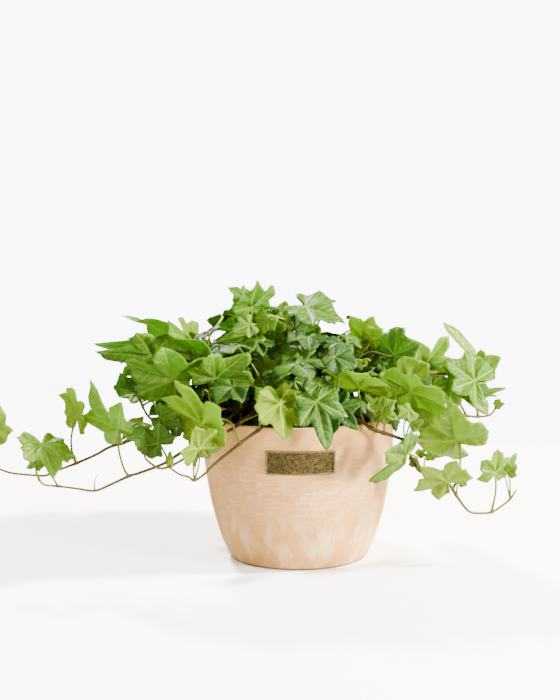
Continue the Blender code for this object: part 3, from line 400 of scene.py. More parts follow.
# Bare tendrils by stem, as (right, up) in the front elevation from the stem outwards
TENDRILS = {
    "stem_left_low": [(-165, 58), (-164.6, 61.5), (-163, 65), (-161.5, 66.5)],
    "stem_left_thin": [(-101.8, 74), (-102.4, 78), (-102.9, 82), (-102.2, 85)],
}
TENDRIL_RADIUS = 0.75
TENDRIL_TAPER = 0.6

# Finer forms
MERGE = 0.0001
SHARP_ANGLE = math.radians(32)
PETIOLE_FULLNESS = 1.1
ROOT_SWELL = 0.55
ROOT_FADE = 0.45
NECK_SWELL = 0.15
PETIOLE_END = 0.45
KNEE = 0.45
KNEE_LENGTH = 2.0
SHOULDERS = [(0.32, 0.05), (0.74, 0.13)]
MARGIN_WAVE = 0.09
RIPPLE = (0.045, 0.095)
RIPPLE_COUNTS = [5, 7, 8, 9]
MARGIN_PITCH = 4.5
HALF_PHASE = 9.0
PUCKER = 0.06
LARGE_LEAF = 15.0
LARGE_FINENESS = 3
SMALL_FINENESS = 2
LARGE_RINGS = 8
SMALL_RINGS = 5
BLADE_FINE_THICKNESS = 0.45
SHRINK = 0.98
UPPER_FACING = 0.1
PETIOLE_FINE_STEP = 1.8
PETIOLE_FINE_SIDES = 7
STEM_FINE_STEP = 2.2
STEM_FINE_SIDES = 9
UPPER_SIDE, UNDER_SIDE, STALK, BARK = range(4)

# Veins, as shares of the midrib: six main ribs round the joint, with side veins slanting off them
RIB_ANGLES = [0.0, 60.0, 120.0]
RIB_SECTOR = math.pi / 3
RIB_WIDTH = 0.036
RIB_TAPER = 0.022
BRANCH_SLOPE = 0.95
BRANCH_SPACING = 0.19
VEIN_WOBBLE = 0.07
VEIN_SHADES = [(0.0, (1.0, 1.0, 1.0)), (1.0, (0.88, 0.92, 0.80))]
UNDER_GLOSS = 0.1

# How often patterns repeat per metre, some of them along X, Y and Z
AGE_SCALE = 60.0
MOTTLE_SCALE = 420.0
BLOTCH_SCALE = 90.0
SPECK_SCALE = 900.0
GRAIN_SCALE = 1400.0
STIPPLE_SCALE = 1150.0
PATINA_SCALE = 350.0
CRUMB_SCALE = 700.0
FINE_SOIL_SCALE = 1050.0
PATCH_SCALE = (22.0, 22.0, 26.0)
UPRIGHT_SCALE = (700.0, 700.0, 130.0)
BRUSH_SCALE = (120.0, 120.0, 720.0)
CLOUD_SCALE = (90.0, 90.0, 42.0)

# Heights in metres where the pot's looks change
LOW_POT = (0.025, 0.055)
BELOW_RIM = (0.080, 0.112)
LIP_LINE = (0.1168, 0.1174)
# Painted shadow: a dark band this high round the foot stands in for the pot's contact shadow on the floor
FOOT_SHADE_LINE = (0.0012, 0.0026)

LIP_RADIUS = 1.1
POT_STEPS = 144
PLATE_BORDER = 1.0
PLATE_SINK = 0.5
FIELD_BELOW = 0.05
FIELD_TOP = 0.15
PLATE_BENDS = 36
SOIL_RINGS = 52
SOIL_STEPS = 120
CRUMBS = 700
CRUMB_SEED = 5
CRUMB_MARGIN = 3.0
CRUMB_TILT = 0.5
CRUMB_FLATNESS = 0.8
CRUMB_LIFT = 0.2
CRUMB_SIZES = (0.35, 1.1)
CRUMB_LENGTHS = [1.0, 1.2, 1.5, 4.5]
ROOT_SLIMNESS = 0.45
# Lumps of the soil's top, each as (height, times per millimetre), and how far they lower it
SOIL_LUMPS = [(1.1, 0.11), (0.8, 0.55), (0.5, 1.3)]
SOIL_LOWERED = 0.4

# Colours of stalks and of stems, young and old
STALK_COLOURS = (0.19, 0.26, 0.010), (0.10, 0.115, 0.010)
BARK_COLOURS = (0.13, 0.11, 0.010), (0.050, 0.024, 0.008)

# Colours of blades by age: upper side, under side and the light that comes through
UPPER_COLOURS = [(0.0, (0.185, 0.280, 0.002)), (0.25, (0.130, 0.235, 0.002)), (0.5, (0.075, 0.180, 0.003)),
                 (0.75, (0.030, 0.100, 0.005)), (1.0, (0.010, 0.044, 0.007))]
UNDER_COLOURS = [(0.0, (0.260, 0.330, 0.045)), (0.14, (0.145, 0.215, 0.002)), (0.5, (0.075, 0.148, 0.003)),
                 (0.75, (0.050, 0.112, 0.005)), (1.0, (0.034, 0.084, 0.007))]
GLOW_COLOURS = [(0.0, (0.47, 0.66, 0.001)), (0.25, (0.37, 0.60, 0.001)), (0.5, (0.23, 0.48, 0.001)),
                (0.75, (0.12, 0.33, 0.002)), (1.0, (0.06, 0.19, 0.003))]

# Floor
FLOOR_WIDTH = 9000.0
FLOOR_LENGTH = 7000.0
FLOOR_END = 420.0

# Light, as strengths of the surrounding air and of the backdrop behind the plant
AIR_LIGHT = 0.1
BACKDROP_LIGHT = 9.8
FLOOR_BOUNCE = 0.36
FLOOR_GAIN = 1.2

# Square lights: name, place and size in metres, power in watts, colour. They look at LIGHT_AIM.
LIGHT_AIM = Vector((0.0, 0.0, 0.1))
LIGHTS = [
    ("window_right", (2.1, -0.35, 1.75), 0.28, 590.0, (1.0, 0.96, 0.87)),
    ("window_back", (-0.9, 1.8, 1.9), 0.28, 350.0, (1.0, 0.96, 0.87)),
    ("sky_left", (-1.7, -0.5, 1.5), 0.5, 35.0, (0.95, 0.98, 1.0)),
    ("front_left", (-0.9, -2.2, 1.2), 0.9, 38.0, (1.0, 0.97, 0.90)),
    ("front_right", (1.9, -1.3, 0.55), 0.7, 215.0, (1.0, 0.97, 0.92)),
]

# What every colour property shares
COLOUR = {"subtype": "COLOR", "size": 3, "min": 0.0, "max": 1.0}


def outside_radius(height):
    """Radius of the pot's outer wall at a height."""
    for (r0, z0), (r1, z1) in zip(POT_OUTSIDE, POT_OUTSIDE[1:]):
        if z0 <= height <= z1:
            return r0 + (r1 - r0) * (height - z0) / (z1 - z0)
    return POT_OUTSIDE[-2][0]


def inside_radius(height):
    """Radius of the pot's inner wall at a height."""
    return outside_radius(height) - POT_WALL


def soil_height(radius):
    """Height of the soil's top at a distance from the pot's axis."""
    edge = inside_radius(SOIL_EDGE) - GAP
    return SOIL_EDGE + SOIL_MOUND * math.cos(min(radius / edge, 1.0) * math.pi / 2)


def seen(right, up, depth):
    """The point at a depth that the front elevation shows at (right, up)."""
    flat = Vector((right, 0.0, up))
    return EYE + (flat - EYE) * ((depth - EYE.y) / (0.0 - EYE.y))


def square_to(axis, way):
    """The unit vector nearest to WAY that is square to a unit AXIS."""
    return (way - axis * way.dot(axis)).normalized()


def smooth_route(points, step=None, count=None):
    """A smooth curve through points: its own points are about STEP apart or COUNT to each stretch."""
    padded = [points[0] * 2 - points[1]] + points + [points[-1] * 2 - points[-2]]
    route = []
    for p0, p1, p2, p3 in zip(padded, padded[1:], padded[2:], padded[3:]):
        parts = count or max(1, round((p2 - p1).length / step))
        for t in (i / parts for i in range(parts)):
            route.append(0.5 * (2 * p1 + (p2 - p0) * t + (2 * p0 - 5 * p1 + 4 * p2 - p3) * t * t
                                + (3 * p1 - p0 - 3 * p2 + p3) * t ** 3))
    return route + [points[-1].copy()]


def route_frames(route):
    """Two unit vectors across the route at each of its points, without twist."""
    side = (route[1] - route[0]).normalized().orthogonal().normalized()
    frames = []
    for i in range(len(route)):
        ahead = (route[min(i + 1, len(route) - 1)] - route[max(i - 1, 0)]).normalized()
        side = square_to(ahead, side)
        frames.append((side, ahead.cross(side)))
    return frames


def tube(route, radii, sides):
    """A closed tube along a route, as (vertices, faces)."""
    turns = [math.tau * k / sides for k in range(sides)]
    verts = [point + (side * math.cos(turn) + other * math.sin(turn)) * radius
             for point, radius, (side, other) in zip(route, radii, route_frames(route)) for turn in turns]
    last = (len(route) - 1) * sides
    faces = []
    for ring in range(0, last, sides):
        for k in range(sides):
            a, b = ring + k, ring + (k + 1) % sides
            faces += [(a, b, b + sides), (a, b + sides, a + sides)]
    for k in range(1, sides - 1):
        faces += [(0, k + 1, k), (last, last + k, last + k + 1)]
    return verts, faces


def stem_points(name):
    """The stem's route in space, from its foot in the soil."""
    (x, y), route = STEMS[name]
    top = soil_height(math.hypot(x, y))
    points = [Vector((x, y, top - HOLE_DEPTH + GAP)), Vector((x, y, top + 1.0))]
    return points + [seen(*point) for point in route]


def stem_tube(name):
    """The stem's plain tube, for the clearance test."""
    route = smooth_route(stem_points(name), STEM_STEP)
    last = len(route) - 1
    radii = [STEM_RADIUS + (STEM_TIP_RADIUS - STEM_RADIUS) * i / last for i in range(last + 1)]
    return tube(route, radii, STEM_SIDES)


def half_outline(kind, rng):
    """A side's outline points (along, across) from tip to base, each leaf a little different."""
    points = []
    for i, (angle, reach) in enumerate(LEAF_KINDS[kind]):
        if i:
            angle += rng.uniform(*OUTLINE_TURNS)
            reach *= rng.uniform(*OUTLINE_SHARES)
        points.append((reach * math.cos(math.radians(angle)), reach * math.sin(math.radians(angle))))
    return points


class Leaf:
    """A blade and its petiole: joint, midrib direction, upper side's normal, length and form."""

    def __init__(self, joint, midrib, normal, length, kind, seed):
        rng = random.Random(seed)
        self.joint = joint
        self.midrib = midrib.normalized()
        self.normal = square_to(self.midrib, normal)
        self.length = length
        self.kind = kind
        self.right_half = half_outline(kind, rng)
        self.left_half = half_outline(kind, rng)
        self.fold = rng.uniform(*FOLDS)
        self.droop = rng.uniform(*DROOPS)
        self.wave = rng.uniform(*WAVES)
        self.root_shift = scattered(rng) * ROOT_SCATTER
        self.root = None
        self.shown_age = None
        self.age = None
        self.via = []
        self.petiole = []

    def moved(self, shift, tilt, roll):
        """A copy shifted along a vector, tilted about its breadth and rolled about its midrib."""
        other = copy.copy(self)
        other.joint = self.joint + shift
        breadth = self.midrib.cross(self.normal)
        turn = Matrix.Rotation(math.radians(roll), 3, self.midrib) @ Matrix.Rotation(
            math.radians(tilt), 3, breadth)
        other.midrib = (turn @ self.midrib).normalized()
        other.normal = (turn @ self.normal).normalized()
        other.via = [place + shift * 0.5 for place in self.via]
        return other

    def point(self, along, across):
        """A point of the blade's middle surface; along and across are shares of the midrib."""
        breadth = self.midrib.cross(self.normal)
        lift = self.normal * self.lift(along, across)
        return self.joint + (self.midrib * along + breadth * across + lift) * self.length

    def lift(self, along, across):
        """Height of the middle surface over the blade's plane, as a share of the midrib."""
        reach = math.hypot(along, across)
        wave = self.wave * reach * math.cos(6 * math.atan2(abs(across), along))
        return self.fold * abs(across) - self.droop * reach * reach - wave

    def outline(self):
        """The blade's outline from the petiole round the right half, tip and left half."""
        half = self.petiole_radius() / self.length
        notch = self.notch()
        right = [self.point(along, across) for along, across in reversed(self.right_half)]
        left = [self.point(along, -across) for along, across in self.left_half[1:]]
        return [self.point(-notch, half)] + right + left + [self.point(-notch, -half)]

    def notch(self):
        """How far behind the joint the petiole meets the blade, as a share of the midrib."""
        return max(NOTCH_REACH, 3.0 * self.petiole_radius() / self.length)

    def blade(self, extra=0.0):
        """The blade as a thin solid, split alike on both faces; the last 2 faces close its foot."""
        rim = self.outline()
        count = len(rim)
        half = self.normal * (BLADE_THICKNESS / 2 + extra)
        centre = self.joint
        rim = [point + (point - centre).normalized() * extra for point in rim]
        verts = [p + half for p in rim] + [p - half for p in rim] + [centre + half, centre - half]
        faces = []
        for i in range(count):
            j = (i + 1) % count
            faces += [(2 * count, i, j), (2 * count + 1, count + j, count + i),
                      (i, count + i, count + j), (i, count + j, j)]
        return verts, faces

    def solid(self):
        """The blade and its petiole as one closed body; the petiole grows from the blade's foot."""
        verts, faces = self.blade()
        count = (len(verts) - 2) // 2
        faces = faces[:-2]
        ring = [0, count - 1, 2 * count - 1, count]
        half = self.petiole_radius()
        side = self.midrib.cross(self.normal)
        route = self.petiole[::-1]
        for i, place in enumerate(route[1:], 1):
            ahead = (route[min(i + 1, len(route) - 1)] - route[i - 1]).normalized()
            side = square_to(ahead, side)
            over = ahead.cross(side)
            corners = [side + over, over - side, -side - over, side - over]
            new = list(range(len(verts), len(verts) + 4))
            verts += [place + corner * half * PETIOLE_CORNER for corner in corners]
            for k in range(4):
                j = (k + 1) % 4
                faces += [(ring[k], ring[j], new[j]), (ring[k], new[j], new[k])]
            ring = new
        return verts, faces + [(ring[0], ring[1], ring[2]), (ring[0], ring[2], ring[3])]

    def petiole_route(self, sideways, under):
        """The petiole from the stem's middle to the blade's foot, which it reaches steeply from the
        under side (UNDER 1) or the upper side (-1); SIDEWAYS bends it to a side on its way."""
        foot = self.joint - self.midrib * self.notch() * self.length
        neck = foot - self.normal * NECK_RISE * under - self.midrib * NECK_RISE * 0.5
        if self.via:
            return [self.root] + self.via + [neck, foot]
        span = neck - self.root
        across = span.cross(UP)
        across = across.normalized() if across.length > UPRIGHT_SPAN else Vector((1.0, 0.0, 0.0))
        bulge = across * sideways + UP * PETIOLE_ARCH - self.normal * PETIOLE_BOW * under
        return [self.root, self.root + span * 0.5 + bulge * span.length, neck, foot]

    def clears_itself(self):
        """Whether the petiole stays clear of its own blade."""
        verts, faces = self.solid()
        tree = BVHTree.FromPolygons(verts, faces)
        return all(set(faces[a]) & set(faces[b]) for a, b in tree.overlap(tree) if a != b)

    def petiole_radius(self):
        """Radius of the petiole: thinner on a young leaf."""
        return YOUNG_PETIOLE_RADIUS if self.kind == "young" else PETIOLE_RADIUS


def elevation(point):
    """Where the front elevation shows a point, as (right, up)."""
    flat = EYE + (point - EYE) * ((0.0 - EYE.y) / (point.y - EYE.y))
    return flat.x, flat.z


class Clearance:
    """The solids placed so far, against which a new one is tested."""

    def __init__(self):
        self.placed = []

    def add(self, solid, owner):
        """Keep a solid, as (vertices, faces), with its owner's name."""
        verts, faces = solid
        self.placed.append((BVHTree.FromPolygons(verts, faces), *box(verts), owner))

    def is_clear(self, solid, own=None):
        """Whether a solid crosses none of those placed by others than its OWN owner."""
        verts, faces = solid
        low, high = box(verts)
        tree = None
        for other, other_low, other_high, owner in self.placed:
            if owner == own or any(low[i] > other_high[i] or high[i] < other_low[i] for i in range(3)):
                continue
            tree = tree or BVHTree.FromPolygons(verts, faces)
            if tree.overlap(other):
                return False
        return True


def box(verts):
    """Least and greatest corner of a list of points."""
    return ([min(v[i] for v in verts) for i in range(3)], [max(v[i] for v in verts) for i in range(3)])


def petiole_tube(leaf, extra=0.0):
    """The petiole alone as a tube, for the clearance test, without its root in the stem."""
    radius = leaf.petiole_radius() + extra
    first = leaf.petiole[1] - leaf.petiole[0]
    start = leaf.petiole[0] + first * min(ROOT_LENGTH / first.length, ROOT_SHARE)
    return tube([start] + leaf.petiole[1:], [radius] * len(leaf.petiole), 4)


def settle(leaf, along, roots, stem, clearance):
    """Nudge a leaf until its blade and petiole cross nothing; None where no nudge is enough."""
    blades = 0
    for nudge, tilt, roll in NUDGES:
        moved = leaf.moved(along * nudge, tilt, roll)
        if not clearance.is_clear(moved.blade(CLEARANCE)):
            continue
        blades += 1
        for root in roots:
            moved.root = root + moved.root_shift
            under = 1.0 if (moved.joint - moved.root).dot(moved.normal) > 0.0 else -1.0
            for sideways in BENDS[:1] if moved.via else BENDS:
                moved.petiole = moved.petiole_route(sideways, under)
                if clearance.is_clear(petiole_tube(moved, CLEARANCE), stem) and moved.clears_itself():
                    return moved
        if blades == MOST_BLADES:
            return None
    return None


def place_leaf(leaf, along, roots, stem, clearance, leaves):
    """Settle a leaf, a smaller one where the full size finds no room, and add it to the leaves."""
    for share in SIZE_SHARES:
        leaf.length *= share
        settled = settle(leaf, along, roots, stem, clearance)
        if settled:
            clearance.add(settled.blade(), stem + " blade")
            clearance.add(petiole_tube(settled), stem + " petiole")
            leaves.append(settled)
            return settled
        leaf.via = []
    return None


def nearest_roots(route, want):
    """The places of a route nearest to a point, nearest first."""
    return sorted(route[2:], key=lambda place: (place - want).length)[:ROOT_COUNT]


def shown_leaf(row, route, seed):
    """A leaf read from the front elevation, the way to the viewer, and places for its petiole's root."""
    mark, joint_mark, tip_mark, depth, lean, roll, kind, age, *via = row
    joint = seen(*joint_mark, depth)
    tip = seen(*tip_mark, depth)
    sight = (EYE - joint).normalized()
    slope = math.radians(lean)
    flat = tip - joint
    for _ in range(TIP_PASSES):
        flat -= sight * flat.dot(sight)
        midrib = flat.normalized() * math.cos(slope) + sight * math.sin(slope)
        normal = Matrix.Rotation(math.radians(roll), 3, midrib) @ square_to(midrib, sight)
        leaf = Leaf(joint, midrib, normal, flat.length / math.cos(slope), kind, seed)
        flat += tip - seen(*elevation(leaf.point(1.0, 0.0)), depth)
    if mark:
        roots = sorted(route[2:], key=lambda place: math.dist(elevation(place), mark))[:ROOT_COUNT]
    else:
        roots = nearest_roots(route, joint - midrib * leaf.length * ROOT_BACK - normal * ROOT_UNDER)
    for i, place in enumerate(via):
        share = (i + 1) / (len(via) + 1)
        leaf.via.append(seen(*place, roots[0].y + (joint.y - roots[0].y) * share))
    leaf.shown_age = age
    return leaf, sight, roots


def inside_outline(right, up):
    """Whether the crown's outline holds a place of the front elevation."""
    within = False
    for (x0, y0), (x1, y1) in zip(CROWN_OUTLINE, CROWN_OUTLINE[1:] + CROWN_OUTLINE[:1]):
        if (y0 > up) != (y1 > up) and right < x0 + (x1 - x0) * (up - y0) / (y1 - y0):
            within = not within
    return within


def scattered(rng):
    """A random vector inside a unit cube around zero."""
    return Vector((rng.uniform(-1, 1), rng.uniform(-1, 1), rng.uniform(-1, 1)))


def weighed(weights, *ways):
    """The sum of several ways, each times its weight."""
    return sum((way * weight for weight, way in zip(weights, ways)), Vector((0.0, 0.0, 0.0)))


def crown_leaf(index, rng):
    """A leaf of the crown's dome, facing out and up with a hanging tip, and the way out from the dome."""
    turn = math.tau * (index * FILL_TURN % 1.0)
    rise = index * FILL_RISE % 1.0
    flat = math.sqrt(1.0 - rise * rise)
    out = Vector((math.cos(turn) * flat, math.sin(turn) * flat, rise))
    centre = CROWN_CENTRE + Vector(a * b for a, b in zip(out, CROWN_REACH)) * rng.uniform(*CROWN_DEPTHS)
    normal = weighed(CROWN_FACING, out, UP, scattered(rng)).normalized()
    midrib = square_to(normal, weighed(CROWN_HANG, out, UP, scattered(rng)))
    length = rng.uniform(*CROWN_LEAF_LENGTH)
    return Leaf(centre - midrib * length * BLADE_MIDDLE, midrib, normal, length, "three", index), out


def trailing_leaf(place, out, index, rng):
    """A leaf held up and out beside a trailing stem, on alternate sides."""
    side = out.cross(UP).normalized() * (1 if index % 2 else -1)
    joint = place + weighed(TRAILING_RISE, out, side, UP) * rng.uniform(*TRAILING_STALKS)
    normal = weighed(TRAILING_FACING, out, UP, side, scattered(rng)).normalized()
    midrib = square_to(normal, weighed(TRAILING_HANG, out, side, UP))
    return Leaf(joint, midrib, normal, rng.uniform(*CROWN_LEAF_LENGTH), "three", index)


def place_crown_leaf(leaf, out, stalk_limits, routes, clearance, grown):
    """Place a leaf of the crown on the stem nearest behind it; None where the stem is too near or far."""
    want = leaf.joint - leaf.normal * BEHIND_LEAF
    name = min(STEMS, key=lambda key: min((place - want).length for place in routes[key][2:]))
    roots = nearest_roots(routes[name], want)
    if not stalk_limits[0] < (roots[0] - leaf.joint).length < stalk_limits[1]:
        return None
    return place_leaf(leaf, out, roots, name, clearance, grown[name])


def grow_plant(routes, clearance):
    """All the leaves by stem: those that are seen first, then those that follow a rule."""
    grown = {name: [] for name in STEMS}
    for name in STEMS:
        clearance.add(stem_tube(name), name)
    rows = [(row[6] == "young", row[3], name, i, row)
            for name, leaves in LEAVES.items() for i, row in enumerate(leaves)]
    for _, _, name, i, row in sorted(rows, key=lambda item: item[:4]):
        leaf, sight, roots = shown_leaf(row, routes[name], name + str(i))
        place_leaf(leaf, sight, roots, name, clearance, grown[name])
    rng = random.Random(FILL_SEED)
    for name in (name for name in STEMS if name.startswith("stem_back")):
        for i, place in enumerate(routes[name][FIRST_TRAILING::TRAILING_STEP]):
            out = Vector((place.x, place.y, 0.0)).normalized()
            leaf = trailing_leaf(place, out, i, rng)
            place_leaf(leaf, out, nearest_roots(routes[name], place), name, clearance, grown[name])
    count = 0
    for index in range(FILL_TRIES):
        leaf, out = crown_leaf(index, rng)
        if count >= FILL_LEAVES or not inside_outline(*elevation(leaf.point(BLADE_MIDDLE, 0.0))):
            continue
        if place_crown_leaf(leaf, out, FILL_STALKS, routes, clearance, grown):
            count += 1
    return grown


def corner_marks(kind):
    """Which outline points of a half blade are the points of lobes."""
    reaches = [reach for _, reach in LEAF_KINDS[kind]]
    inner = range(1, len(reaches) - 1)
    return [0] + [i for i in inner if reaches[i - 1] < reaches[i] > reaches[i + 1]]


def shouldered(tip, bay):
    """The edge from a lobe's point to the bay beside it: straight at first, then a full shoulder."""
    span = bay - tip
    across = Vector((span.y, -span.x))
    if across.dot(tip) < 0.0:
        across.negate()
    return [tip + span * along + across * push for along, push in SHOULDERS]


def half_edge(half, kind, fineness, foot):
    """A half blade's edge from tip to foot, with pointed lobes, full shoulders and narrow bays."""
    points = [Vector(place) for place in half]
    corners = corner_marks(kind)
    edge = []
    run = [points[0]]
    for i, (first, second) in enumerate(zip(points, points[1:])):
        if i in corners and i > 0:
            run += shouldered(first, second)
        if i + 1 in corners:
            run += reversed(shouldered(second, first))
        run.append(second)
        if i + 1 in corners:
            edge += smooth_route(run, count=fineness)[:-1]
            run = [second]
    return edge + smooth_route(run + [foot], count=fineness)


def vein_place(place, lobes):
    """A blade's place with its lobes turned to 60 and 120 degrees, where the veins run."""
    reach = place.length
    angle = math.degrees(math.atan2(abs(place.y), place.x))
    marks = [0.0] + lobes + [180.0]
    even = RIB_ANGLES[:len(marks) - 1] + [180.0]
    for low, high, start, end in zip(marks, marks[1:], even, even[1:]):
        if low <= angle <= high:
            turned = math.radians(start + (end - start) * (angle - low) / (high - low))
            return Vector((reach * math.cos(turned), math.copysign(reach * math.sin(turned), place.y)))
    return place.copy()


def wavy(place, seed):
    """A place of the edge moved in or out a little, so that the margin is uneven."""
    wave = noise.noise(Vector((place.x * MARGIN_PITCH, place.y * MARGIN_PITCH, seed)))
    return place * (1.0 + MARGIN_WAVE * wave * min(1.0, place.length * 2.0))


def blade_plan(leaf):
    """The blade's edge from its foot round the right half, tip and left half, as (place, vein place)."""
    fineness = LARGE_FINENESS if leaf.length > LARGE_LEAF else SMALL_FINENESS
    lobe_points = corner_marks(leaf.kind)[1:]
    foot = Vector((-leaf.notch(), leaf.petiole_radius() / leaf.length))
    sides = []
    for side, half in enumerate((leaf.right_half, leaf.left_half)):
        lobes = [math.degrees(math.atan2(half[i][1], half[i][0])) for i in lobe_points]
        edge = [wavy(place, leaf.ripple_phase + HALF_PHASE * side)
                for place in half_edge(half, leaf.kind, fineness, foot)[:-1]]
        sides.append([(place, vein_place(place, lobes)) for place in edge] + [(foot, foot)])
    mirrored = [(Vector((p.x, -p.y)), Vector((v.x, -v.y))) for p, v in sides[1]]
    plan = sides[0][::-1] + mirrored[1:]
    return plan + [plan[0]]


def blade_lift(leaf, place, vein, share):
    """Height of the fine blade over its plane, as a share of the midrib; SHARE is 1 at the edge."""
    turn = math.atan2(place.y, place.x)
    ripple = leaf.ripple * math.sin(turn * leaf.ripple_count + leaf.ripple_phase)
    between = 0.5 - 0.5 * math.cos(6.0 * math.atan2(abs(vein.y), vein.x))
    pucker = PUCKER * between * 4.0 * share * (1.0 - share)
    return leaf.lift(place.x, place.y) + pucker + ripple * place.length * share * share


def leaf_bmesh(leaf):
    """A blade as a thin solid: a grid wrapped round the joint, its edge on the blade's outline."""
    plan = blade_plan(leaf)
    rings = LARGE_RINGS if leaf.length > LARGE_LEAF else SMALL_RINGS
    columns = len(plan) - 1
    breadth = leaf.midrib.cross(leaf.normal)
    bm = bmesh.new()
    veins = bm.verts.layers.float_vector.new("vein_place")
    bmesh.ops.create_grid(bm, x_segments=columns, y_segments=rings, size=1.0)
    for vert in bm.verts:
        column = round((vert.co.x + 1.0) / 2.0 * columns)
        share = round((vert.co.y + 1.0) / 2.0 * rings) / rings
        place, vein = plan[column][0] * share, plan[column][1] * share
        flat = leaf.midrib * place.x + breadth * place.y
        vert.co = leaf.joint + (flat + leaf.normal * blade_lift(leaf, place, vein, share)) * leaf.length
        vert[veins] = (vein.x, vein.y, leaf.age)
    bmesh.ops.remove_doubles(bm, verts=bm.verts, dist=MERGE)
    if sum(face.calc_area() * face.normal.dot(leaf.normal) for face in bm.faces) < 0.0:
        bmesh.ops.reverse_faces(bm, faces=bm.faces)
    for vert in bm.verts:
        vert.co += leaf.normal * BLADE_FINE_THICKNESS / 2
    bmesh.ops.solidify(bm, geom=bm.faces[:], thickness=BLADE_FINE_THICKNESS)
    bmesh.ops.recalc_face_normals(bm, faces=bm.faces)
    for face in bm.faces:
        face.normal_update()
        face.material_index = UPPER_SIDE if face.normal.dot(leaf.normal) > UPPER_FACING else UNDER_SIDE
        face.smooth = True
    keep_in_box(bm, leaf)
    return bm


def keep_in_box(bm, leaf):
    """Shrink a blade about its joint until the box of the solids holds it."""
    low, high = CAD_LOW / MM, CAD_HIGH / MM
    place = Matrix.Translation(-leaf.joint)
    while any(not low[i] < vert.co[i] < high[i] for vert in bm.verts for i in range(3)):
        bmesh.ops.scale(bm, vec=(SHRINK,) * 3, space=place, verts=bm.verts)


def tube_bmesh(route, radii, sides, material):
    """A closed tube along a route: a cylinder cut into rings, each moved to its place."""
    bm = bmesh.new()
    veins = bm.verts.layers.float_vector.new("vein_place")
    bmesh.ops.create_cone(bm, cap_ends=True, segments=sides, radius1=1.0, radius2=1.0, depth=1.0)
    long_edges = [edge for edge in bm.edges if abs(edge.verts[0].co.z - edge.verts[1].co.z) > 0.5]
    bmesh.ops.subdivide_edges(bm, edges=long_edges, cuts=len(route) - 2, use_grid_fill=True)
    frames = route_frames(route)
    for vert in bm.verts:
        ring = round((vert.co.z + 0.5) * (len(route) - 1))
        side, other = frames[ring]
        vert[veins] = (ring / (len(route) - 1), 0.0, 0.0)
        vert.co = route[ring] + (side * vert.co.x + other * vert.co.y) * radii[ring]
    bmesh.ops.recalc_face_normals(bm, faces=bm.faces)
    for face in bm.faces:
        face.material_index = material
        face.smooth = True
    return bm


def petiole_bmesh(leaf):
    """A leaf's stalk, from the middle of the stem to the joint, thicker at its root."""
    route = smooth_route(leaf.petiole + [leaf.joint - leaf.normal * 0.1], PETIOLE_FINE_STEP)
    radius = leaf.petiole_radius() * PETIOLE_FULLNESS
    count = len(route) - 1
    radii = [radius * (1.0 + ROOT_SWELL * math.exp(-i * ROOT_FADE) + NECK_SWELL * (i / count) ** 6)
             for i in range(count + 1)]
    radii[-1] = radius * PETIOLE_END
    return tube_bmesh(route, radii, PETIOLE_FINE_SIDES, STALK)


def tendril_bmesh(places, route):
    """A bare tendril that grows from the nearest place of its stem and thins to its tip."""
    root = min(route, key=lambda point: (Vector(elevation(point)) - Vector(places[0])).length)
    path = smooth_route([root] + [seen(*place, root.y) for place in places], PETIOLE_FINE_STEP)
    count = len(path) - 1
    radii = [TENDRIL_RADIUS * (1.0 - TENDRIL_TAPER * i / count) for i in range(count + 1)]
    return tube_bmesh(path, radii, PETIOLE_FINE_SIDES, STALK)


def stem_bmesh(name, leaves):
    """A stem with a slight knee wherever a leaf's stalk grows from it."""
    route = smooth_route(stem_points(name), STEM_FINE_STEP)
    count = len(route) - 1
    radii = []
    for i, point in enumerate(route):
        radius = STEM_RADIUS + (STEM_TIP_RADIUS - STEM_RADIUS) * (i / count) ** 2
        near = min(((leaf.petiole[0] - point).length for leaf in leaves), default=math.inf)
        radii.append(radius + KNEE * math.exp(-(near / KNEE_LENGTH) ** 2))
    radii[-1] *= 0.5
    return tube_bmesh(route, radii, STEM_FINE_SIDES, BARK)


def joined_object(name, pieces, materials):
    """One object at the origin from bmeshes in millimetres, each of which is used up."""
    whole = bmesh.new()
    whole.verts.layers.float_vector.new("vein_place")
    for piece in pieces:
        part = bpy.data.meshes.new("part")
        piece.to_mesh(part)
        piece.free()
        whole.from_mesh(part)
        bpy.data.meshes.remove(part)
    whole.transform(Matrix.Scale(MM, 4))
    mesh = bpy.data.meshes.new(name)
    whole.to_mesh(mesh)
    whole.free()
    for material in materials:
        mesh.materials.append(material)
    obj = bpy.data.objects.new(name, mesh)
    bpy.context.scene.collection.objects.link(obj)
    return obj


def smoothed(obj):
    """Shade an object smooth, apart from its sharp edges."""
    obj.data.shade_smooth()
    obj.data.set_sharp_from_angle(angle=SHARP_ANGLE)


def new_material(name):
    """A new node material, with its tree and its Principled shader."""
    material = bpy.data.materials.new(name)
    material.use_nodes = True
    return material, material.node_tree, material.node_tree.nodes["Principled BSDF"]


def wired(tree, kind, inputs=None, **settings):
    """Add a node, set its properties, and fill its inputs with values or link them to sockets."""
    node = tree.nodes.new(kind)
    for key, value in settings.items():
        setattr(node, key, value)
    for key, value in (inputs or {}).items():
        if isinstance(value, bpy.types.NodeSocket):
            tree.links.new(value, node.inputs[key])
        else:
            node.inputs[key].default_value = value
    return node


def maths(tree, operation, *values, clamp=False):
    """A Math node's result from values or sockets."""
    return wired(tree, "ShaderNodeMath", dict(enumerate(values)), operation=operation,
                 use_clamp=clamp).outputs[0]


def times(tree, first, second):
    """Two values multiplied."""
    return maths(tree, "MULTIPLY", first, second)


def line(tree, value, gain, offset):
    """A value times GAIN plus OFFSET."""
    return maths(tree, "MULTIPLY_ADD", value, gain, offset)


def vectors(tree, operation, first, second):
    """A Vector Math node's result."""
    return wired(tree, "ShaderNodeVectorMath", {0: first, 1: second}, operation=operation).outputs[0]


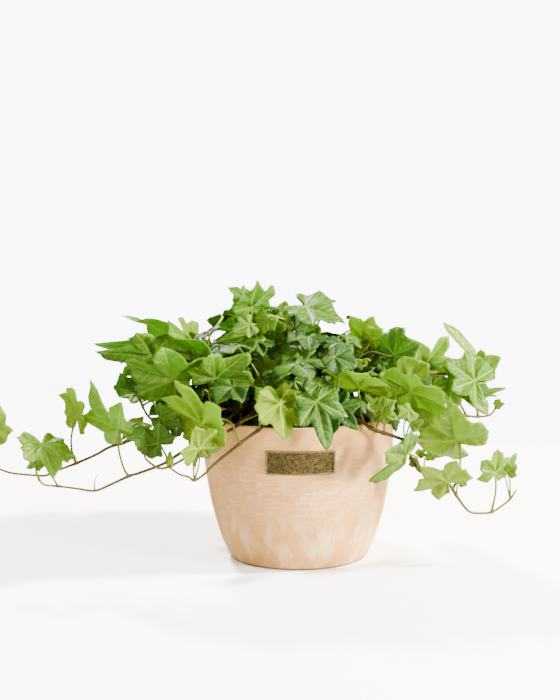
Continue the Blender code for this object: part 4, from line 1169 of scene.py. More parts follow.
def ramp(tree, value, stops):
    """A colour ramp with (place, colour) stops."""
    node = wired(tree, "ShaderNodeValToRGB", {"Fac": value})
    elements = node.color_ramp.elements
    while len(elements) < len(stops):
        elements.new(1.0)
    for element, (place, colour) in zip(elements, stops):
        element.position = place
        element.color = (*colour, 1.0)
    return node.outputs["Color"]


def fade(tree, value, start, end):
    """1 where VALUE is at or past START, 0 at END, smooth in between."""
    node = wired(tree, "ShaderNodeMapRange", {"Value": value, "From Min": start, "From Max": end,
                                              "To Min": 1.0, "To Max": 0.0},
                 interpolation_type="SMOOTHSTEP")
    return node.outputs["Result"]


def rise(tree, value, start, end):
    """0 where VALUE is at or under START, 1 at END, smooth in between."""
    return maths(tree, "SUBTRACT", 1.0, fade(tree, value, start, end))


def blended(tree, factor, first, second, mode="MIX"):
    """Two colours mixed by a factor."""
    node = wired(tree, "ShaderNodeMix", data_type="RGBA", blend_type=mode)
    for key, value in ((0, factor), (6, first), (7, second)):
        if isinstance(value, bpy.types.NodeSocket):
            tree.links.new(value, node.inputs[key])
        elif key:
            node.inputs[key].default_value = (*value, 1.0)
        else:
            node.inputs[key].default_value = value
    return node.outputs[2]


def layered(tree, colour, *layers):
    """A colour under layers, each as (mask, strength, colour)."""
    for mask, strength, layer in layers:
        colour = blended(tree, times(tree, mask, strength), colour, layer)
    return colour


def object_place(tree, scale):
    """Object coordinates times SCALE, a number or one for each axis."""
    if isinstance(scale, float):
        scale = (scale,) * 3
    place = wired(tree, "ShaderNodeTexCoord").outputs["Object"]
    return wired(tree, "ShaderNodeMapping", {"Vector": place, "Scale": scale}).outputs["Vector"]


def cloud(tree, scale, detail=3.0, roughness=0.5):
    """A noise texture's value over Object coordinates."""
    inputs = {"Vector": object_place(tree, scale), "Scale": 1.0, "Detail": detail, "Roughness": roughness}
    return wired(tree, "ShaderNodeTexNoise", inputs).outputs["Fac"]


def cells(tree, scale, **settings):
    """A Voronoi texture's outputs over Object coordinates."""
    inputs = {"Vector": object_place(tree, scale), "Scale": 1.0}
    return wired(tree, "ShaderNodeTexVoronoi", inputs, **settings).outputs


def stored(tree, name, output):
    """A value that the mesh stores at its vertices."""
    return wired(tree, "ShaderNodeAttribute", attribute_name=name).outputs[output]


def split(tree, vector):
    """The parts X, Y and Z of a vector."""
    return wired(tree, "ShaderNodeSeparateXYZ", {0: vector}).outputs


def surfaced(tree, shader, colour, rough, gloss, relief, invert=False):
    """Give a shader its colour, roughness, gloss and RELIEF: height, strength and distance."""
    tree.links.new(colour, shader.inputs["Base Color"])
    tree.links.new(rough, shader.inputs["Roughness"])
    shader.inputs["Specular IOR Level"].default_value = gloss
    inputs = dict(zip(("Height", "Strength", "Distance"), relief))
    bump = wired(tree, "ShaderNodeBump", inputs, invert=invert)
    tree.links.new(bump.outputs["Normal"], shader.inputs["Normal"])


def shown_mix(tree, factor, first, second, output):
    """Mix two shaders by a factor and show the mixture at the tree's output."""
    mixture = wired(tree, "ShaderNodeMixShader", {0: factor, 1: first.outputs[0], 2: second.outputs[0]})
    tree.links.new(mixture.outputs[0], tree.nodes[output].inputs["Surface"])


def vein_group():
    """The group that draws a blade's main ribs, side veins and fine net from its vein place."""
    group = bpy.data.node_groups.new("blade_veins", "ShaderNodeTree")
    group.interface.new_socket("Place", in_out="INPUT", socket_type="NodeSocketVector")
    start = group.nodes.new("NodeGroupInput").outputs["Place"]
    wobble = wired(group, "ShaderNodeTexNoise", {"Vector": start, "Scale": 3.0, "Detail": 2.0})
    shifted = vectors(group, "SUBTRACT", wobble.outputs["Color"], (0.5, 0.5, 0.5))
    bent = vectors(group, "ADD", start, vectors(group, "MULTIPLY", shifted, (VEIN_WOBBLE,) * 3))
    parts = split(group, bent)
    side = maths(group, "ABSOLUTE", parts["Y"])
    reach = maths(group, "SQRT", line(group, side, side, times(group, parts["X"], parts["X"])))
    angle = maths(group, "ARCTAN2", side, parts["X"])
    rib = times(group, maths(group, "ROUND", maths(group, "DIVIDE", angle, RIB_SECTOR)), RIB_SECTOR)
    apart = maths(group, "SUBTRACT", angle, rib)
    along = times(group, reach, maths(group, "COSINE", apart))
    off = maths(group, "ABSOLUTE", times(group, reach, maths(group, "SINE", apart)))
    widths = maths(group, "DIVIDE", off, line(group, along, -RIB_TAPER, RIB_WIDTH))
    sway = wired(group, "ShaderNodeTexNoise", {"Vector": start, "Scale": 2.2, "Detail": 1.0})
    chevron = maths(group, "DIVIDE", line(group, off, -BRANCH_SLOPE, along), BRANCH_SPACING)
    chevron = line(group, sway.outputs["Fac"], 3.0, chevron)
    tooth = maths(group, "ABSOLUTE", maths(group, "SUBTRACT", maths(group, "FRACT", chevron), 0.5))
    mesh = wired(group, "ShaderNodeTexVoronoi", {"Vector": bent, "Scale": 13.0}, feature="DISTANCE_TO_EDGE")
    swell = maths(group, "SUBTRACT", 1.0, maths(group, "POWER", times(group, tooth, 2.0), 2.0))
    results = {
        "Ribs": fade(group, widths, 0.3, 1.0),
        "Branches": times(group, rise(group, tooth, 0.40, 0.49), fade(group, off, 0.16, 0.42)),
        "Net": fade(group, mesh.outputs["Distance"], 0.0, 0.09),
        "Quilt": times(group, line(group, swell, 0.6, 0.4), rise(group, widths, 0.0, 3.5)),
    }
    end = group.nodes.new("NodeGroupOutput")
    for output, value in results.items():
        group.interface.new_socket(output, in_out="OUTPUT", socket_type="NodeSocketFloat")
        group.links.new(value, end.inputs[output])
    return group


def blade_material(name, veins, colours, settings, under=False):
    """A waxy blade that lets light through: its colour follows its age, its veins are paler."""
    material, tree, shader = new_material(name)
    parts = split(tree, stored(tree, "vein_place", "Vector"))
    flat = wired(tree, "ShaderNodeCombineXYZ", {0: parts["X"], 1: parts["Y"]}).outputs[0]
    pattern = wired(tree, "ShaderNodeGroup", {"Place": flat}, node_tree=veins).outputs
    spread = line(tree, cloud(tree, AGE_SCALE), 0.24, -0.12)
    age = maths(tree, "ADD", parts["Z"], spread, clamp=True)
    mottle = cloud(tree, MOTTLE_SCALE, 4.0)
    spots = settings.young_colour if under else settings.shade_colour
    body = layered(tree, ramp(tree, age, colours), (mottle, 0.45, spots))
    if not under:
        deep = blended(tree, 0.5, body, settings.shade_colour)
        body = layered(tree, body, (pattern["Quilt"], 0.5, deep))
    vein = blended(tree, times(tree, age, 0.65), settings.vein_colour, body)
    fine = maths(tree, "MAXIMUM", times(tree, pattern["Branches"], 0.9), times(tree, pattern["Net"], 0.4))
    fine = times(tree, fine, line(tree, age, -0.6, 1.0))
    mask = maths(tree, "MAXIMUM", times(tree, pattern["Ribs"], 0.5 if under else 0.9), fine)
    rough = line(tree, mottle, 0.35, 0.45 if under else 0.12)
    rough = line(tree, age, 0.12, line(tree, pattern["Net"], 0.2, rough))
    height = line(tree, pattern["Net"], -0.3, line(tree, mottle, 0.4, pattern["Quilt"]))
    surfaced(tree, shader, blended(tree, mask, body, vein), rough, UNDER_GLOSS if under else settings.wax,
             (height, 0.5, 0.001), invert=under)
    glow = blended(tree, 1.0, ramp(tree, age, GLOW_COLOURS), ramp(tree, mask, VEIN_SHADES), "MULTIPLY")
    through = wired(tree, "ShaderNodeBsdfTranslucent", {"Color": glow})
    shown_mix(tree, settings.glow, shader, through, "Material Output")
    return material


def stalk_material(name, young, old, settings):
    """A stalk or stem: greener towards its tip, browner towards its root, with brown specks."""
    material, tree, shader = new_material(name)
    blotch = line(tree, cloud(tree, BLOTCH_SCALE, 4.0), 0.9, -0.45)
    along = split(tree, stored(tree, "vein_place", "Vector"))["X"]
    middle = [a * 0.75 + b * 0.25 for a, b in zip(old, young)]
    length = maths(tree, "ADD", along, blotch, clamp=True)
    colour = ramp(tree, length, [(0.0, old), (0.7, middle), (1.0, young)])
    speck = cloud(tree, SPECK_SCALE)
    colour = layered(tree, colour, (speck, 0.35, settings.bark_colour))
    surfaced(tree, shader, colour, line(tree, speck, 0.25, 0.45), 0.15, (speck, 0.35, 0.0004))
    return material


def pot_material(settings):
    """Matte moulded stone: two peaches under brushed and clouded cream and a few pale upright streaks, with
    a dark line of painted contact shadow round the foot.
    """
    material, tree, shader = new_material("brushed_peach_stone")
    height = split(tree, object_place(tree, 1.0))["Z"]
    patches = cloud(tree, PATCH_SCALE)
    upright = cloud(tree, UPRIGHT_SCALE, 5.0, 0.6)
    brushed = cloud(tree, BRUSH_SCALE, 5.0, 0.65)
    clouds = cloud(tree, CLOUD_SCALE, 4.0, 0.6)
    low = fade(tree, height, *LOW_POT)
    below_rim = fade(tree, height, *BELOW_RIM)
    strokes = times(tree, rise(tree, brushed, 0.42, 0.68), maths(tree, "SUBTRACT", 1.0, low))
    veil = times(tree, rise(tree, clouds, 0.42, 0.66), line(tree, low, 0.7, 0.3))
    cream = times(tree, maths(tree, "MAXIMUM", strokes, veil), line(tree, below_rim, 0.8, 0.2))
    accents = times(tree, rise(tree, upright, 0.52, 0.68), rise(tree, patches, 0.54, 0.68))
    colour = layered(tree, blended(tree, patches, settings.colour, settings.deep_colour),
                     (cream, 0.5, settings.cream_colour),
                     (times(tree, accents, below_rim), 0.6, settings.pale_colour),
                     (rise(tree, height, *LIP_LINE), 0.7, settings.rim_colour),
                     # painted shadow: the dark line round the foot stands in for the contact shadow where
                     # the pot meets the floor
                     (fade(tree, height, *FOOT_SHADE_LINE), 0.85, settings.foot_colour))
    grain = cloud(tree, GRAIN_SCALE)
    relief = line(tree, cream, 0.5, times(tree, grain, 0.5))
    surfaced(tree, shader, colour, line(tree, grain, 0.2, 0.6), 0.25, (relief, 0.25, 0.0004))
    return material


def plate_material(settings):
    """Antique brass: bright on the border by a painted highlight, darker and stippled in the field."""
    material, tree, shader = new_material("antique_stippled_brass")
    dots = cells(tree, STIPPLE_SCALE, feature="SMOOTH_F1")["Distance"]
    field = stored(tree, "plate_field", "Fac")
    patina = cloud(tree, PATINA_SCALE, 4.0)
    colour = layered(tree, settings.colour,
                     (rise(tree, patina, 0.35, 0.65), 0.8, settings.shade_colour),
                     # painted highlight: all but the sunk field, chiefly the raised border, is lightened as
                     # if it caught the light
                     (maths(tree, "SUBTRACT", 1.0, field), 0.45, settings.edge_colour),
                     (times(tree, field, rise(tree, dots, 0.15, 0.6)), 0.8, settings.patina_colour))
    shader.inputs["Metallic"].default_value = 0.85
    height = line(tree, patina, 0.2, times(tree, fade(tree, dots, 0.15, 0.6), field))
    surfaced(tree, shader, colour, line(tree, patina, 0.25, 0.33), 0.5, (height, 0.6, 0.0003))
    return material


def soil_material(settings):
    """Damp dark soil with crumbs of several browns."""
    material, tree, shader = new_material("damp_soil")
    crumbs = cells(tree, CRUMB_SCALE)
    tint = wired(tree, "ShaderNodeSeparateColor", {0: crumbs["Color"]}).outputs[0]
    colour = ramp(tree, tint, [(0.0, settings.dark_colour), (0.7, settings.colour),
                               (0.93, settings.crumb_colour), (1.0, settings.bark_colour)])
    fine = cloud(tree, FINE_SOIL_SCALE, 5.0)
    height = maths(tree, "ADD", crumbs["Distance"], fine)
    surfaced(tree, shader, colour, line(tree, fine, 0.2, 0.75), 0.2, (height, 0.8, 0.0015))
    return material


def pot_profile():
    """The pot's wall from the middle of its underside, over the lip and down to the inner floor."""
    wall = smooth_route([Vector(point) for point in POT_OUTSIDE[1:-1]], count=4)
    outside = [(0.0, 0.0), POT_OUTSIDE[0], FOOT_ROUND] + [(point.x, point.y) for point in wall]
    outer = POT_OUTSIDE[-2][0] - LIP_RADIUS
    inner = inside_radius(POT_HEIGHT - 1.0) + LIP_RADIUS
    turns = [math.radians(degrees) for degrees in range(0, 91, 15)]
    arc = [(LIP_RADIUS * math.cos(turn), POT_HEIGHT - LIP_RADIUS + LIP_RADIUS * math.sin(turn))
           for turn in turns]
    over = [(outer + reach, height) for reach, height in arc[1:]]
    back = [(inner - reach, height) for reach, height in arc[::-1]]
    inside = [(inside_radius(height), height) for _, height in POT_OUTSIDE[7:1:-1]]
    cove = (inside_radius(POT_COVE_HEIGHT) - POT_COVE, POT_FLOOR)
    return outside + over + back + inside + [cove, (0.0, POT_FLOOR)]


def turned_bmesh(profile, steps):
    """Spin a profile of (radius, height), whose ends lie on the axis, about Z."""
    bm = bmesh.new()
    points = [bm.verts.new((radius, 0.0, height)) for radius, height in profile]
    edges = [bm.edges.new(pair) for pair in zip(points, points[1:])]
    bmesh.ops.spin(bm, geom=points + edges, cent=(0, 0, 0), axis=(0, 0, 1), dvec=(0, 0, 0),
                   angle=math.tau, steps=steps, use_merge=True, use_duplicate=False)
    bmesh.ops.remove_doubles(bm, verts=bm.verts, dist=0.001)
    bmesh.ops.recalc_face_normals(bm, faces=bm.faces)
    return bm


def drain_cutters():
    """The grooves across the underside and the drain holes, as closed cutting solids."""
    grooves, holes = bmesh.new(), bmesh.new()
    start, end = DRAIN_HOLE_PLACE - DRAIN_HOLE_RADIUS, POT_OUTSIDE[1][0] + GROOVE_PAST_WALL
    for i in range(DRAIN_GROOVES):
        turn = Matrix.Rotation(math.tau * i / DRAIN_GROOVES, 4, "Z")
        place = turn @ Matrix.Translation((0.0, -(start + end) / 2, 0.0))
        size = Matrix.Diagonal((GROOVE_WIDTH, end - start, GROOVE_DEPTH * 2, 1.0))
        bmesh.ops.create_cube(grooves, size=1.0, matrix=place @ size)
        place = turn @ Matrix.Translation((0.0, -DRAIN_HOLE_PLACE, POT_FLOOR / 2))
        bmesh.ops.create_cone(holes, cap_ends=True, segments=DRAIN_HOLE_SIDES, radius1=DRAIN_HOLE_RADIUS,
                              radius2=DRAIN_HOLE_RADIUS, depth=POT_FLOOR * 2, matrix=place)
    return grooves, holes


def cut(obj, tool_bmesh):
    """Cut a bmesh in millimetres out of an object and drop the cutter."""
    tool = joined_object("cutter", [tool_bmesh], [])
    modifier = obj.modifiers.new("cut", "BOOLEAN")
    modifier.object = tool
    graph = bpy.context.evaluated_depsgraph_get()
    graph.update()
    mesh = bpy.data.meshes.new_from_object(obj.evaluated_get(graph))
    obj.modifiers.clear()
    obj.data = mesh
    bpy.data.objects.remove(tool)


def rounded(bm, edges, offset, segments):
    """Round the edges of a bmesh."""
    bmesh.ops.bevel(bm, geom=edges, affect="EDGES", offset=offset, segments=segments, profile=0.5,
                    material=-1)


def plate_bmesh():
    """The bare plate: a rounded slab with a raised border round a sunk field, bent to the wall."""
    radius = outside_radius(PLATE_MIDDLE) + GAP
    half = radius * math.asin(PLATE_CHORD / 2 / (radius + PLATE_THICKNESS))
    bm = bmesh.new()
    size = Matrix.Diagonal((2 * half, PLATE_THICKNESS, PLATE_HEIGHT, 1.0))
    place = Matrix.Translation((0.0, -PLATE_THICKNESS / 2, 0.0))
    bmesh.ops.create_cube(bm, size=1.0, matrix=place @ size)
    corners = [edge for edge in bm.edges if abs(edge.verts[0].co.y - edge.verts[1].co.y) > PLATE_SINK]
    rounded(bm, corners, PLATE_CORNER, 5)
    front = min(bm.faces, key=lambda face: face.calc_center_median().y)
    rounded(bm, front.edges[:], PLATE_EDGE, 2)
    front = min(bm.faces, key=lambda face: (face.calc_center_median().y, -face.calc_area()))
    bmesh.ops.inset_region(bm, faces=[front], thickness=PLATE_BORDER)
    bmesh.ops.inset_region(bm, faces=[front], thickness=PLATE_EDGE, depth=-PLATE_SINK)
    for i in range(1, PLATE_BENDS):
        across = -half + 2 * half * i / PLATE_BENDS
        bmesh.ops.bisect_plane(bm, geom=bm.verts[:] + bm.edges[:] + bm.faces[:], dist=MERGE,
                               plane_co=(across, 0.0, 0.0), plane_no=(1.0, 0.0, 0.0))
    field = bm.verts.layers.float.new("plate_field")
    for vert in bm.verts:
        out = -vert.co.y
        sunk = PLATE_THICKNESS - PLATE_SINK - FIELD_BELOW < out < PLATE_THICKNESS - FIELD_TOP
        inner = PLATE_HEIGHT / 2 - PLATE_BORDER
        vert[field] = float(sunk and abs(vert.co.x) < half - PLATE_BORDER and abs(vert.co.z) < inner)
        reach = outside_radius(PLATE_MIDDLE + vert.co.z) + GAP + out
        angle = (vert.co.x + PLATE_SHIFT) / outside_radius(PLATE_MIDDLE)
        vert.co = (reach * math.sin(angle), -reach * math.cos(angle), PLATE_MIDDLE + vert.co.z)
    bmesh.ops.recalc_face_normals(bm, faces=bm.faces)
    return bm


def soil_bmesh():
    """The soil's body with an uneven crumbly top."""
    floor = POT_FLOOR + GAP
    edge = inside_radius(SOIL_EDGE) - GAP
    profile = [(0.0, floor), (inside_radius(SOIL_COVE_HEIGHT) - SOIL_COVE, floor)]
    profile += [(inside_radius(height) - GAP, height) for _, height in POT_OUTSIDE[2:8:2]]
    profile.append((edge, SOIL_EDGE - 1.0))
    rings = [edge * (1.0 - i / SOIL_RINGS) for i in range(SOIL_RINGS + 1)]
    bm = turned_bmesh(profile + [(radius, soil_height(radius)) for radius in rings], SOIL_STEPS)
    for vert in bm.verts:
        if vert.co.z > SOIL_EDGE - 0.1:
            lumps = [size * noise.noise(vert.co * pitch) for size, pitch in SOIL_LUMPS]
            vert.co.z += sum(lumps) - SOIL_LOWERED
    return bm


def crumb_bmesh(rng):
    """One crumb, chip of bark or bit of root on the soil."""
    bm = bmesh.new()
    bmesh.ops.create_icosphere(bm, subdivisions=1, radius=1.0)
    radius = math.sqrt(rng.random()) * (inside_radius(SOIL_EDGE) - CRUMB_MARGIN)
    turn = rng.uniform(0.0, math.tau)
    size = rng.uniform(*CRUMB_SIZES)
    long = rng.choice(CRUMB_LENGTHS)
    slim = size * (ROOT_SLIMNESS if long > 2.0 else 1.0)
    spin = Matrix.Rotation(rng.uniform(0.0, math.tau), 4, "Z")
    tilt = Matrix.Rotation(rng.uniform(-CRUMB_TILT, CRUMB_TILT), 4, "Y")
    shape = Matrix.Diagonal((size * long, slim, slim * CRUMB_FLATNESS, 1.0))
    place = Vector((radius * math.cos(turn), radius * math.sin(turn), soil_height(radius) + CRUMB_LIFT))
    bm.transform(Matrix.Translation(place) @ spin @ tilt @ shape)
    return bm


def dressed(obj, *nodes):
    """Let an object ride on the plant and stand for its solids."""
    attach(obj, "root")
    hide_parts(*nodes)
    return obj


def grow_extras(grown, clearance, routes, wanted):
    """More of the crown's leaves, too many for the solids, where they still find room."""
    rng = random.Random(EXTRA_SEED)
    count = 0
    for index in range(EXTRA_TRIES):
        if count >= wanted:
            return
        leaf, out = crown_leaf(index + FILL_TRIES, rng)
        leaf.length *= rng.uniform(*EXTRA_SIZES)
        places = [elevation(leaf.point(share, 0.0)) for share in (0.0, 0.5, 1.0)]
        if not all(inside_outline(*place) for place in places):
            continue
        if places[1][1] < OPEN_FRONT and leaf.joint.y < 0.0:
            continue
        settled = place_crown_leaf(leaf, out, EXTRA_STALKS, routes, clearance, grown)
        if settled:
            settled.age = rng.uniform(*FILLER_AGES)
            count += 1


def node_solid(name):
    """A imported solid's mesh in millimetres, as (vertices, faces)."""
    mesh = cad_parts[name].data
    return [vert.co / MM for vert in mesh.vertices], [tuple(face.vertices) for face in mesh.polygons]


def give_ages(grown):
    """Give each leaf its age and the small waves of its edge."""
    for name, leaves in grown.items():
        for i, leaf in enumerate(leaves):
            rng = random.Random(name + " look " + str(i))
            if leaf.shown_age is not None:
                leaf.age = min(1.0, max(0.0, leaf.shown_age + rng.uniform(-AGE_SPREAD, AGE_SPREAD)))
            elif leaf.age is None:
                leaf.age = rng.uniform(*(TRAILING_AGES if name.startswith("stem_back") else FILLER_AGES))
                leaf.age *= YOUNG_SHARE if leaf.joint.z > YOUNG_HEIGHT else 1.0
            leaf.ripple = rng.uniform(*RIPPLE)
            leaf.ripple_count = rng.choice(RIPPLE_COUNTS)
            leaf.ripple_phase = rng.uniform(0.0, math.tau)


class PotSettings(bpy.types.PropertyGroup):
    """Colours and fineness of the pot."""

    colour: bpy.props.FloatVectorProperty(
        name="Colour", description="Main peach of the moulded stone", default=(0.69, 0.355, 0.100),
        **COLOUR)
    deep_colour: bpy.props.FloatVectorProperty(
        name="Deep colour", description="Deeper peach of the broad patches", default=(0.64, 0.285, 0.068),
        **COLOUR)
    cream_colour: bpy.props.FloatVectorProperty(
        name="Cream", description="Brushed cream of the marbling", default=(0.90, 0.65, 0.38), **COLOUR)
    pale_colour: bpy.props.FloatVectorProperty(
        name="Pale streaks", description="The few palest streaks", default=(0.90, 0.72, 0.56), **COLOUR)
    rim_colour: bpy.props.FloatVectorProperty(
        name="Lip", description="Olive line along the lip", default=(0.33, 0.22, 0.07), **COLOUR)
    # Painted shadow: colour of the dark line round the foot, standing in for the contact shadow
    foot_colour: bpy.props.FloatVectorProperty(
        name="Foot", description="Dark line round the foot", default=(0.16, 0.07, 0.035), **COLOUR)
    steps: bpy.props.IntProperty(
        name="Sides", description="Number of sides of the turned pot", min=32, max=256, default=POT_STEPS)


class PlateSettings(bpy.types.PropertyGroup):
    """Colours of the name plate."""

    colour: bpy.props.FloatVectorProperty(
        name="Brass", description="Bright brass of the worn edges", default=(0.165, 0.120, 0.034),
        **COLOUR)
    shade_colour: bpy.props.FloatVectorProperty(
        name="Worn brass", description="Olive brass of the broad areas", default=(0.072, 0.051, 0.015),
        **COLOUR)
    # Painted highlight: brighter metal on the border, standing in for the light that the raised border
    # catches
    edge_colour: bpy.props.FloatVectorProperty(
        name="Border", description="Worn bright metal of the border", default=(0.25, 0.185, 0.065),
        **COLOUR)
    patina_colour: bpy.props.FloatVectorProperty(
        name="Patina", description="Dark patina between the stipples", default=(0.018, 0.011, 0.004),
        **COLOUR)


class SoilSettings(bpy.types.PropertyGroup):
    """Colours and crumbs of the soil."""

    colour: bpy.props.FloatVectorProperty(
        name="Colour", description="Damp soil", default=(0.018, 0.012, 0.008), **COLOUR)
    dark_colour: bpy.props.FloatVectorProperty(
        name="Dark", description="Darkest crumbs", default=(0.005, 0.004, 0.003), **COLOUR)
    crumb_colour: bpy.props.FloatVectorProperty(
        name="Crumbs", description="Drier crumbs", default=(0.05, 0.032, 0.018), **COLOUR)
    bark_colour: bpy.props.FloatVectorProperty(
        name="Bark", description="Chips of bark and roots", default=(0.16, 0.075, 0.025), **COLOUR)
    crumbs: bpy.props.IntProperty(
        name="Crumbs", description="Number of loose crumbs", min=0, max=2000, default=CRUMBS)


class PlantSettings(bpy.types.PropertyGroup):
    """Looks of the stems and leaves."""

    extra_leaves: bpy.props.IntProperty(
        name="More leaves", description="Leaves added inside the crown", min=0, max=200, default=100)
    glow: bpy.props.FloatProperty(
        name="Light through", description="Share of light that passes a blade", subtype="FACTOR",
        min=0.0, max=1.0, default=0.42)
    wax: bpy.props.FloatProperty(
        name="Wax", description="Gloss of the upper sides", subtype="FACTOR", min=0.0, max=1.0,
        default=0.21)
    vein_colour: bpy.props.FloatVectorProperty(
        name="Veins", description="Pale green of the veins", default=(0.29, 0.43, 0.045), **COLOUR)
    shade_colour: bpy.props.FloatVectorProperty(
        name="Upper mottle", description="Darker spots on the upper sides", default=(0.010, 0.042, 0.006),
        **COLOUR)
    young_colour: bpy.props.FloatVectorProperty(
        name="Under mottle", description="Lighter spots on the under sides", default=(0.13, 0.20, 0.006),
        **COLOUR)
    bark_colour: bpy.props.FloatVectorProperty(
        name="Bark specks", description="Brown specks on stems and stalks", default=(0.07, 0.032, 0.012),
        **COLOUR)


class StageSettings(bpy.types.PropertyGroup):
    """Camera and light."""

    lens: bpy.props.FloatProperty(
        name="Lens", description="Focal length on a 36 mm high sensor, in millimetres", min=20.0,
        max=300.0, default=LENS)
    floor_colour: bpy.props.FloatVectorProperty(
        name="Floor", description="Pale floor", default=(0.90, 0.90, 0.885), **COLOUR)
    air_colour: bpy.props.FloatVectorProperty(
        name="Air", description="Colour of the surrounding light", default=(0.93, 0.95, 0.96), **COLOUR)


class IVY_OT_pot(bpy.types.Operator):
    """Build the marbled pot with its lip, drain grooves and drain holes"""

    bl_idname = "ivy.pot"
    bl_label = "Build the pot"

    def execute(self, context):
        settings = context.scene.ivy_pot
        pot = joined_object("pot_marbled", [turned_bmesh(pot_profile(), settings.steps)],
                            [pot_material(settings)])
        for tool in drain_cutters():
            cut(pot, tool)
        smoothed(pot)
        dressed(pot, "pot")
        return {"FINISHED"}


class IVY_OT_name_plate(bpy.types.Operator):
    """Build the bare brass plate with its raised border"""

    bl_idname = "ivy.name_plate"
    bl_label = "Build the name plate"

    def execute(self, context):
        plate = joined_object("plate_bare", [plate_bmesh()], [plate_material(context.scene.ivy_plate)])
        smoothed(plate)
        dressed(plate, "name_plate")
        return {"FINISHED"}


class IVY_OT_soil(bpy.types.Operator):
    """Build the soil with loose crumbs, chips and roots on it"""

    bl_idname = "ivy.soil"
    bl_label = "Build the soil"

    def execute(self, context):
        settings = context.scene.ivy_soil
        rng = random.Random(CRUMB_SEED)
        crumbs = [crumb_bmesh(rng) for _ in range(settings.crumbs)]
        soil = joined_object("soil_crumbly", [soil_bmesh()] + crumbs, [soil_material(settings)])
        soil.data.shade_smooth()
        dressed(soil, "soil")
        return {"FINISHED"}


class IVY_OT_plant(bpy.types.Operator):
    """Grow the stems with their stalks and leaves"""

    bl_idname = "ivy.plant"
    bl_label = "Grow the plant"

    def execute(self, context):
        settings = context.scene.ivy_plant
        veins = vein_group()
        materials = [blade_material("leaf_upper", veins, UPPER_COLOURS, settings),
                     blade_material("leaf_under", veins, UNDER_COLOURS, settings, under=True),
                     stalk_material("leaf_stalk", *STALK_COLOURS, settings),
                     stalk_material("stem_bark", *BARK_COLOURS, settings)]
        clearance = Clearance()
        for node in ("pot", "soil", "name_plate"):
            clearance.add(node_solid(node), node)
        routes = {name: smooth_route(stem_points(name), ROUTE_STEP) for name in STEMS}
        grown = grow_plant(routes, clearance)
        grow_extras(grown, clearance, routes, settings.extra_leaves)
        give_ages(grown)
        for name, leaves in grown.items():
            pieces = [stem_bmesh(name, leaves)]
            if name in TENDRILS:
                pieces.append(tendril_bmesh(TENDRILS[name], routes[name]))
            for leaf in leaves:
                pieces += [leaf_bmesh(leaf), petiole_bmesh(leaf)]
            dressed(joined_object("leafy_" + name, pieces, materials), name)
        return {"FINISHED"}


class IVY_OT_stage(bpy.types.Operator):
    """Set the pale floor, the soft light and the camera"""

    bl_idname = "ivy.stage"
    bl_label = "Set the stage"

    def execute(self, context):
        settings = context.scene.ivy_stage
        build_floor(settings)
        build_camera(settings)
        build_lights(settings)
        return {"FINISHED"}


def build_floor(settings):
    """The pale table top that ends behind the plant."""
    bm = bmesh.new()
    bmesh.ops.create_grid(bm, x_segments=1, y_segments=1, size=1.0)
    size = Matrix.Diagonal((FLOOR_WIDTH / 2, FLOOR_LENGTH / 2, 1.0, 1.0))
    bm.transform(Matrix.Translation((0.0, FLOOR_END - FLOOR_LENGTH / 2, 0.0)) @ size)
    material, tree, shader = new_material("pale_floor")
    bounce = [value * FLOOR_BOUNCE for value in settings.floor_colour]
    shader.inputs["Base Color"].default_value = (*bounce, 1.0)
    shader.inputs["Roughness"].default_value = 0.6
    gain = vectors(tree, "MULTIPLY", settings.floor_colour, (FLOOR_GAIN,) * 3)
    bright = wired(tree, "ShaderNodeBsdfDiffuse", {"Color": gain})
    camera_ray = wired(tree, "ShaderNodeLightPath").outputs["Is Camera Ray"]
    shown_mix(tree, camera_ray, shader, bright, "Material Output")
    joined_object("floor", [bm], [material])


def build_camera(settings):
    """The camera at the photograph's place."""
    data = bpy.data.cameras.new("camera")
    data.sensor_fit = "VERTICAL"
    data.sensor_height = SENSOR
    data.lens = settings.lens
    data.clip_start, data.clip_end = CLIP
    camera = bpy.data.objects.new("camera", data)
    bpy.context.scene.collection.objects.link(camera)
    back = (EYE - TARGET).normalized()
    right = UP.cross(back).normalized()
    turn = Matrix((right, back.cross(right), back)).transposed().to_4x4()
    roll = Matrix.Rotation(math.radians(CAMERA_ROLL), 4, "Z")
    camera.matrix_world = Matrix.Translation(EYE * MM) @ turn @ roll
    bpy.context.scene.camera = camera


def area_light(name, place, size, power, colour):
    """A square soft light that looks at the pot."""
    data = bpy.data.lights.new(name, "AREA")
    data.size = size
    data.energy = power
    data.color = colour
    light = bpy.data.objects.new(name, data)
    light.location = place
    light.rotation_euler = (LIGHT_AIM - Vector(place)).to_track_quat("-Z", "Y").to_euler()
    bpy.context.scene.collection.objects.link(light)


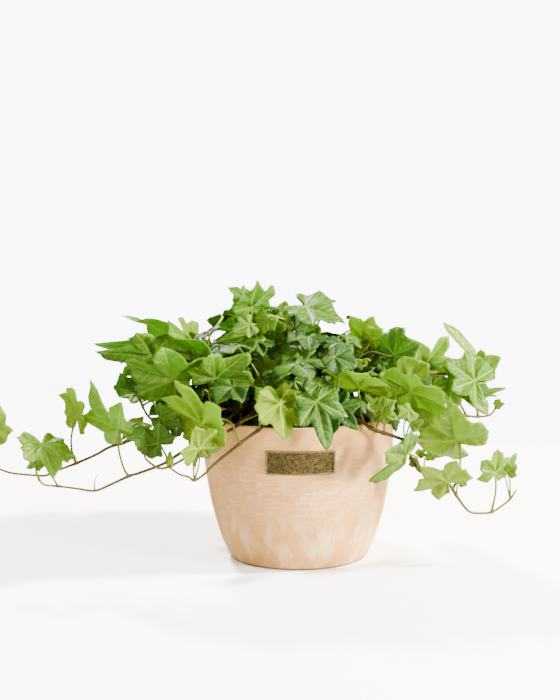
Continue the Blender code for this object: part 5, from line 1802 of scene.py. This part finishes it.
def build_lights(settings):
    """Window light from behind and above, sky light from the left, a soft front fill and bright air."""
    for light in LIGHTS:
        area_light(*light)
    world = bpy.data.worlds.new("bright_air")
    world.use_nodes = True
    tree = world.node_tree
    colour = (*settings.air_colour, 1.0)
    air = tree.nodes["Background"]
    air.inputs["Color"].default_value = colour
    air.inputs["Strength"].default_value = AIR_LIGHT
    backdrop = wired(tree, "ShaderNodeBackground", {"Color": colour, "Strength": BACKDROP_LIGHT})
    camera_ray = wired(tree, "ShaderNodeLightPath").outputs["Is Camera Ray"]
    shown_mix(tree, camera_ray, air, backdrop, "World Output")
    bpy.context.scene.world = world


class IVY_PT_sidebar(bpy.types.Panel):
    """Lists the sizes, colours and pieces of the potted ivy"""

    bl_idname = "IVY_PT_sidebar"
    bl_label = "Potted ivy"
    bl_space_type = "VIEW_3D"
    bl_region_type = "UI"
    bl_category = "Ivy"

    def draw(self, context):
        for name, (_, operator) in SETTINGS.items():
            rows = self.layout.box()
            settings = getattr(context.scene, name)
            for key in settings.__annotations__:
                rows.prop(settings, key)
            rows.operator(operator)


# Each group of settings as the scene names it, with the operator that reads it
SETTINGS = {
    "ivy_pot": (PotSettings, "ivy.pot"),
    "ivy_plate": (PlateSettings, "ivy.name_plate"),
    "ivy_soil": (SoilSettings, "ivy.soil"),
    "ivy_plant": (PlantSettings, "ivy.plant"),
    "ivy_stage": (StageSettings, "ivy.stage"),
}
CLASSES = [IVY_OT_pot, IVY_OT_name_plate, IVY_OT_soil, IVY_OT_plant, IVY_OT_stage, IVY_PT_sidebar]


def register():
    for name, (group, _) in SETTINGS.items():
        bpy.utils.register_class(group)
        setattr(bpy.types.Scene, name, bpy.props.PointerProperty(type=group))
    for item in CLASSES:
        bpy.utils.register_class(item)


def unregister():
    for item in reversed(CLASSES):
        bpy.utils.unregister_class(item)
    for name, (group, _) in reversed(SETTINGS.items()):
        delattr(bpy.types.Scene, name)
        bpy.utils.unregister_class(group)


def main():
    """Register the add-on and build the pot, name plate, soil, plant and stage."""
    register()
    bpy.ops.ivy.pot()
    bpy.ops.ivy.name_plate()
    bpy.ops.ivy.soil()
    bpy.ops.ivy.plant()
    bpy.ops.ivy.stage()


if __name__ == "__main__":
    main()
